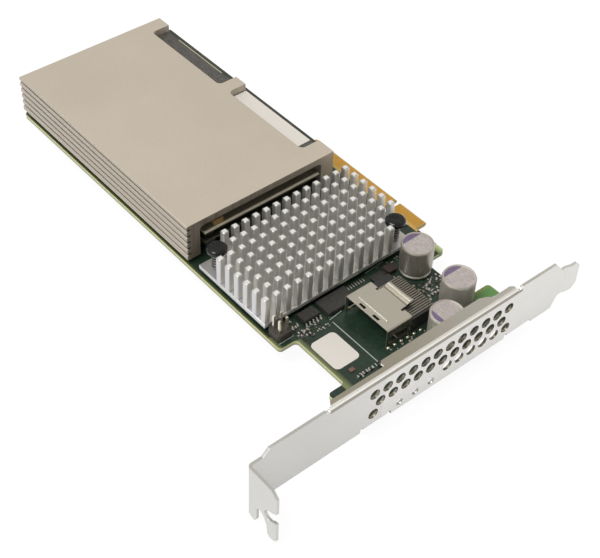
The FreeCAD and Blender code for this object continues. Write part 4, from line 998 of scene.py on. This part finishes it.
floor_tree.links.new(floor_glow.outputs[0], floor_mix.inputs[2])
floor_tree.links.new(floor_mix.outputs[0], floor_tree.nodes["Material Output"].inputs["Surface"])
floor_data.materials.append(floor_white)

OVERHEAD_LEVEL = 0.5
DARK_SIDE_LEVEL = 0.15
OVERHEAD_TINT = (1.0, 0.955, 0.87)
world = bpy.data.worlds.new("studio")
bpy.context.scene.world = world
world.use_nodes = True
sky = world.node_tree
sky_parts = axes(sky, sky.nodes.new("ShaderNodeTexCoord"), "Generated")
sky_height = shader(sky, "ShaderNodeMapRange", Value=sky_parts[2], From_Min=0.1, From_Max=0.8,
                    To_Min=1.0, To_Max=OVERHEAD_LEVEL)
sky_front = shader(sky, "ShaderNodeMapRange", Value=sky_parts[0], From_Min=-0.9, From_Max=0.2,
                   To_Min=DARK_SIDE_LEVEL, To_Max=1.0)
sky_path = sky.nodes.new("ShaderNodeLightPath")
sky_shade = math_node(sky, "MAXIMUM", sky_front.outputs[0], sky_path.outputs["Is Glossy Ray"])
sky_soft = math_node(sky, "MULTIPLY", sky_height.outputs[0], sky_shade)
sky_level = math_node(sky, "MAXIMUM", sky_soft, sky_path.outputs["Is Camera Ray"])
sky_warmth = shader(sky, "ShaderNodeMapRange", Value=sky_parts[2], From_Min=0.2, From_Max=0.8)
sky_tint = blend_colours(sky, sky_warmth.outputs[0], WHITE, OVERHEAD_TINT)
sky_colour = blend_colours(sky, sky_path.outputs["Is Camera Ray"], sky_tint, WHITE)
background = sky.nodes["Background"]
sky.links.new(sky_colour, background.inputs["Color"])
sky.links.new(sky_level, background.inputs["Strength"])

LAMP_PLACE = Vector((0.05, 0.45, 1.0))
LAMP_SIZE = 0.6
LAMP_POWER = 9.5
light = bpy.data.lights.new("key", "AREA")
light.energy = LAMP_POWER
light.size = LAMP_SIZE
lamp = bpy.data.objects.new("key", light)
bpy.context.scene.collection.objects.link(lamp)
lamp.location = LAMP_PLACE
lamp.rotation_mode = "QUATERNION"
lamp.rotation_quaternion = (-LAMP_PLACE).to_track_quat("-Z", "Y")

CAMERA_PLACE = (-146.14, 115.54, 263.01)
CAMERA_AZIMUTH = math.radians(230.07)
CAMERA_PITCH = math.radians(44.65)
CAMERA_ROLL = math.radians(1.23)
FOCAL_PIXELS = 1279.3
PHOTO_WIDTH, PHOTO_HEIGHT = 600, 558
OPTICAL_CENTRE = (274.6, 271.3)
SENSOR = 36.0

back = Vector((math.sin(CAMERA_AZIMUTH) * math.cos(CAMERA_PITCH),
               -math.cos(CAMERA_AZIMUTH) * math.cos(CAMERA_PITCH), math.sin(CAMERA_PITCH)))
level = Vector((0, 0, 1)).cross(back).normalized()
upward = back.cross(level)
right = level * math.cos(CAMERA_ROLL) + upward * math.sin(CAMERA_ROLL)
above = upward * math.cos(CAMERA_ROLL) - level * math.sin(CAMERA_ROLL)
camera = bpy.data.objects.new("camera", bpy.data.cameras.new("camera"))
bpy.context.scene.collection.objects.link(camera)
turn = Matrix((right, above, back)).transposed().to_4x4()
camera.matrix_world = Matrix.Translation(at(*CAMERA_PLACE)) @ turn
camera.data.sensor_width = SENSOR
camera.data.lens = FOCAL_PIXELS * SENSOR / PHOTO_WIDTH
camera.data.shift_x = (PHOTO_WIDTH / 2 - OPTICAL_CENTRE[0]) / PHOTO_WIDTH
camera.data.shift_y = (OPTICAL_CENTRE[1] - PHOTO_HEIGHT / 2) / PHOTO_WIDTH
camera.data.clip_start = 0.01
camera.data.clip_end = 20.0
bpy.context.scene.camera = camera
bpy.context.scene.view_settings.view_transform = "Standard"
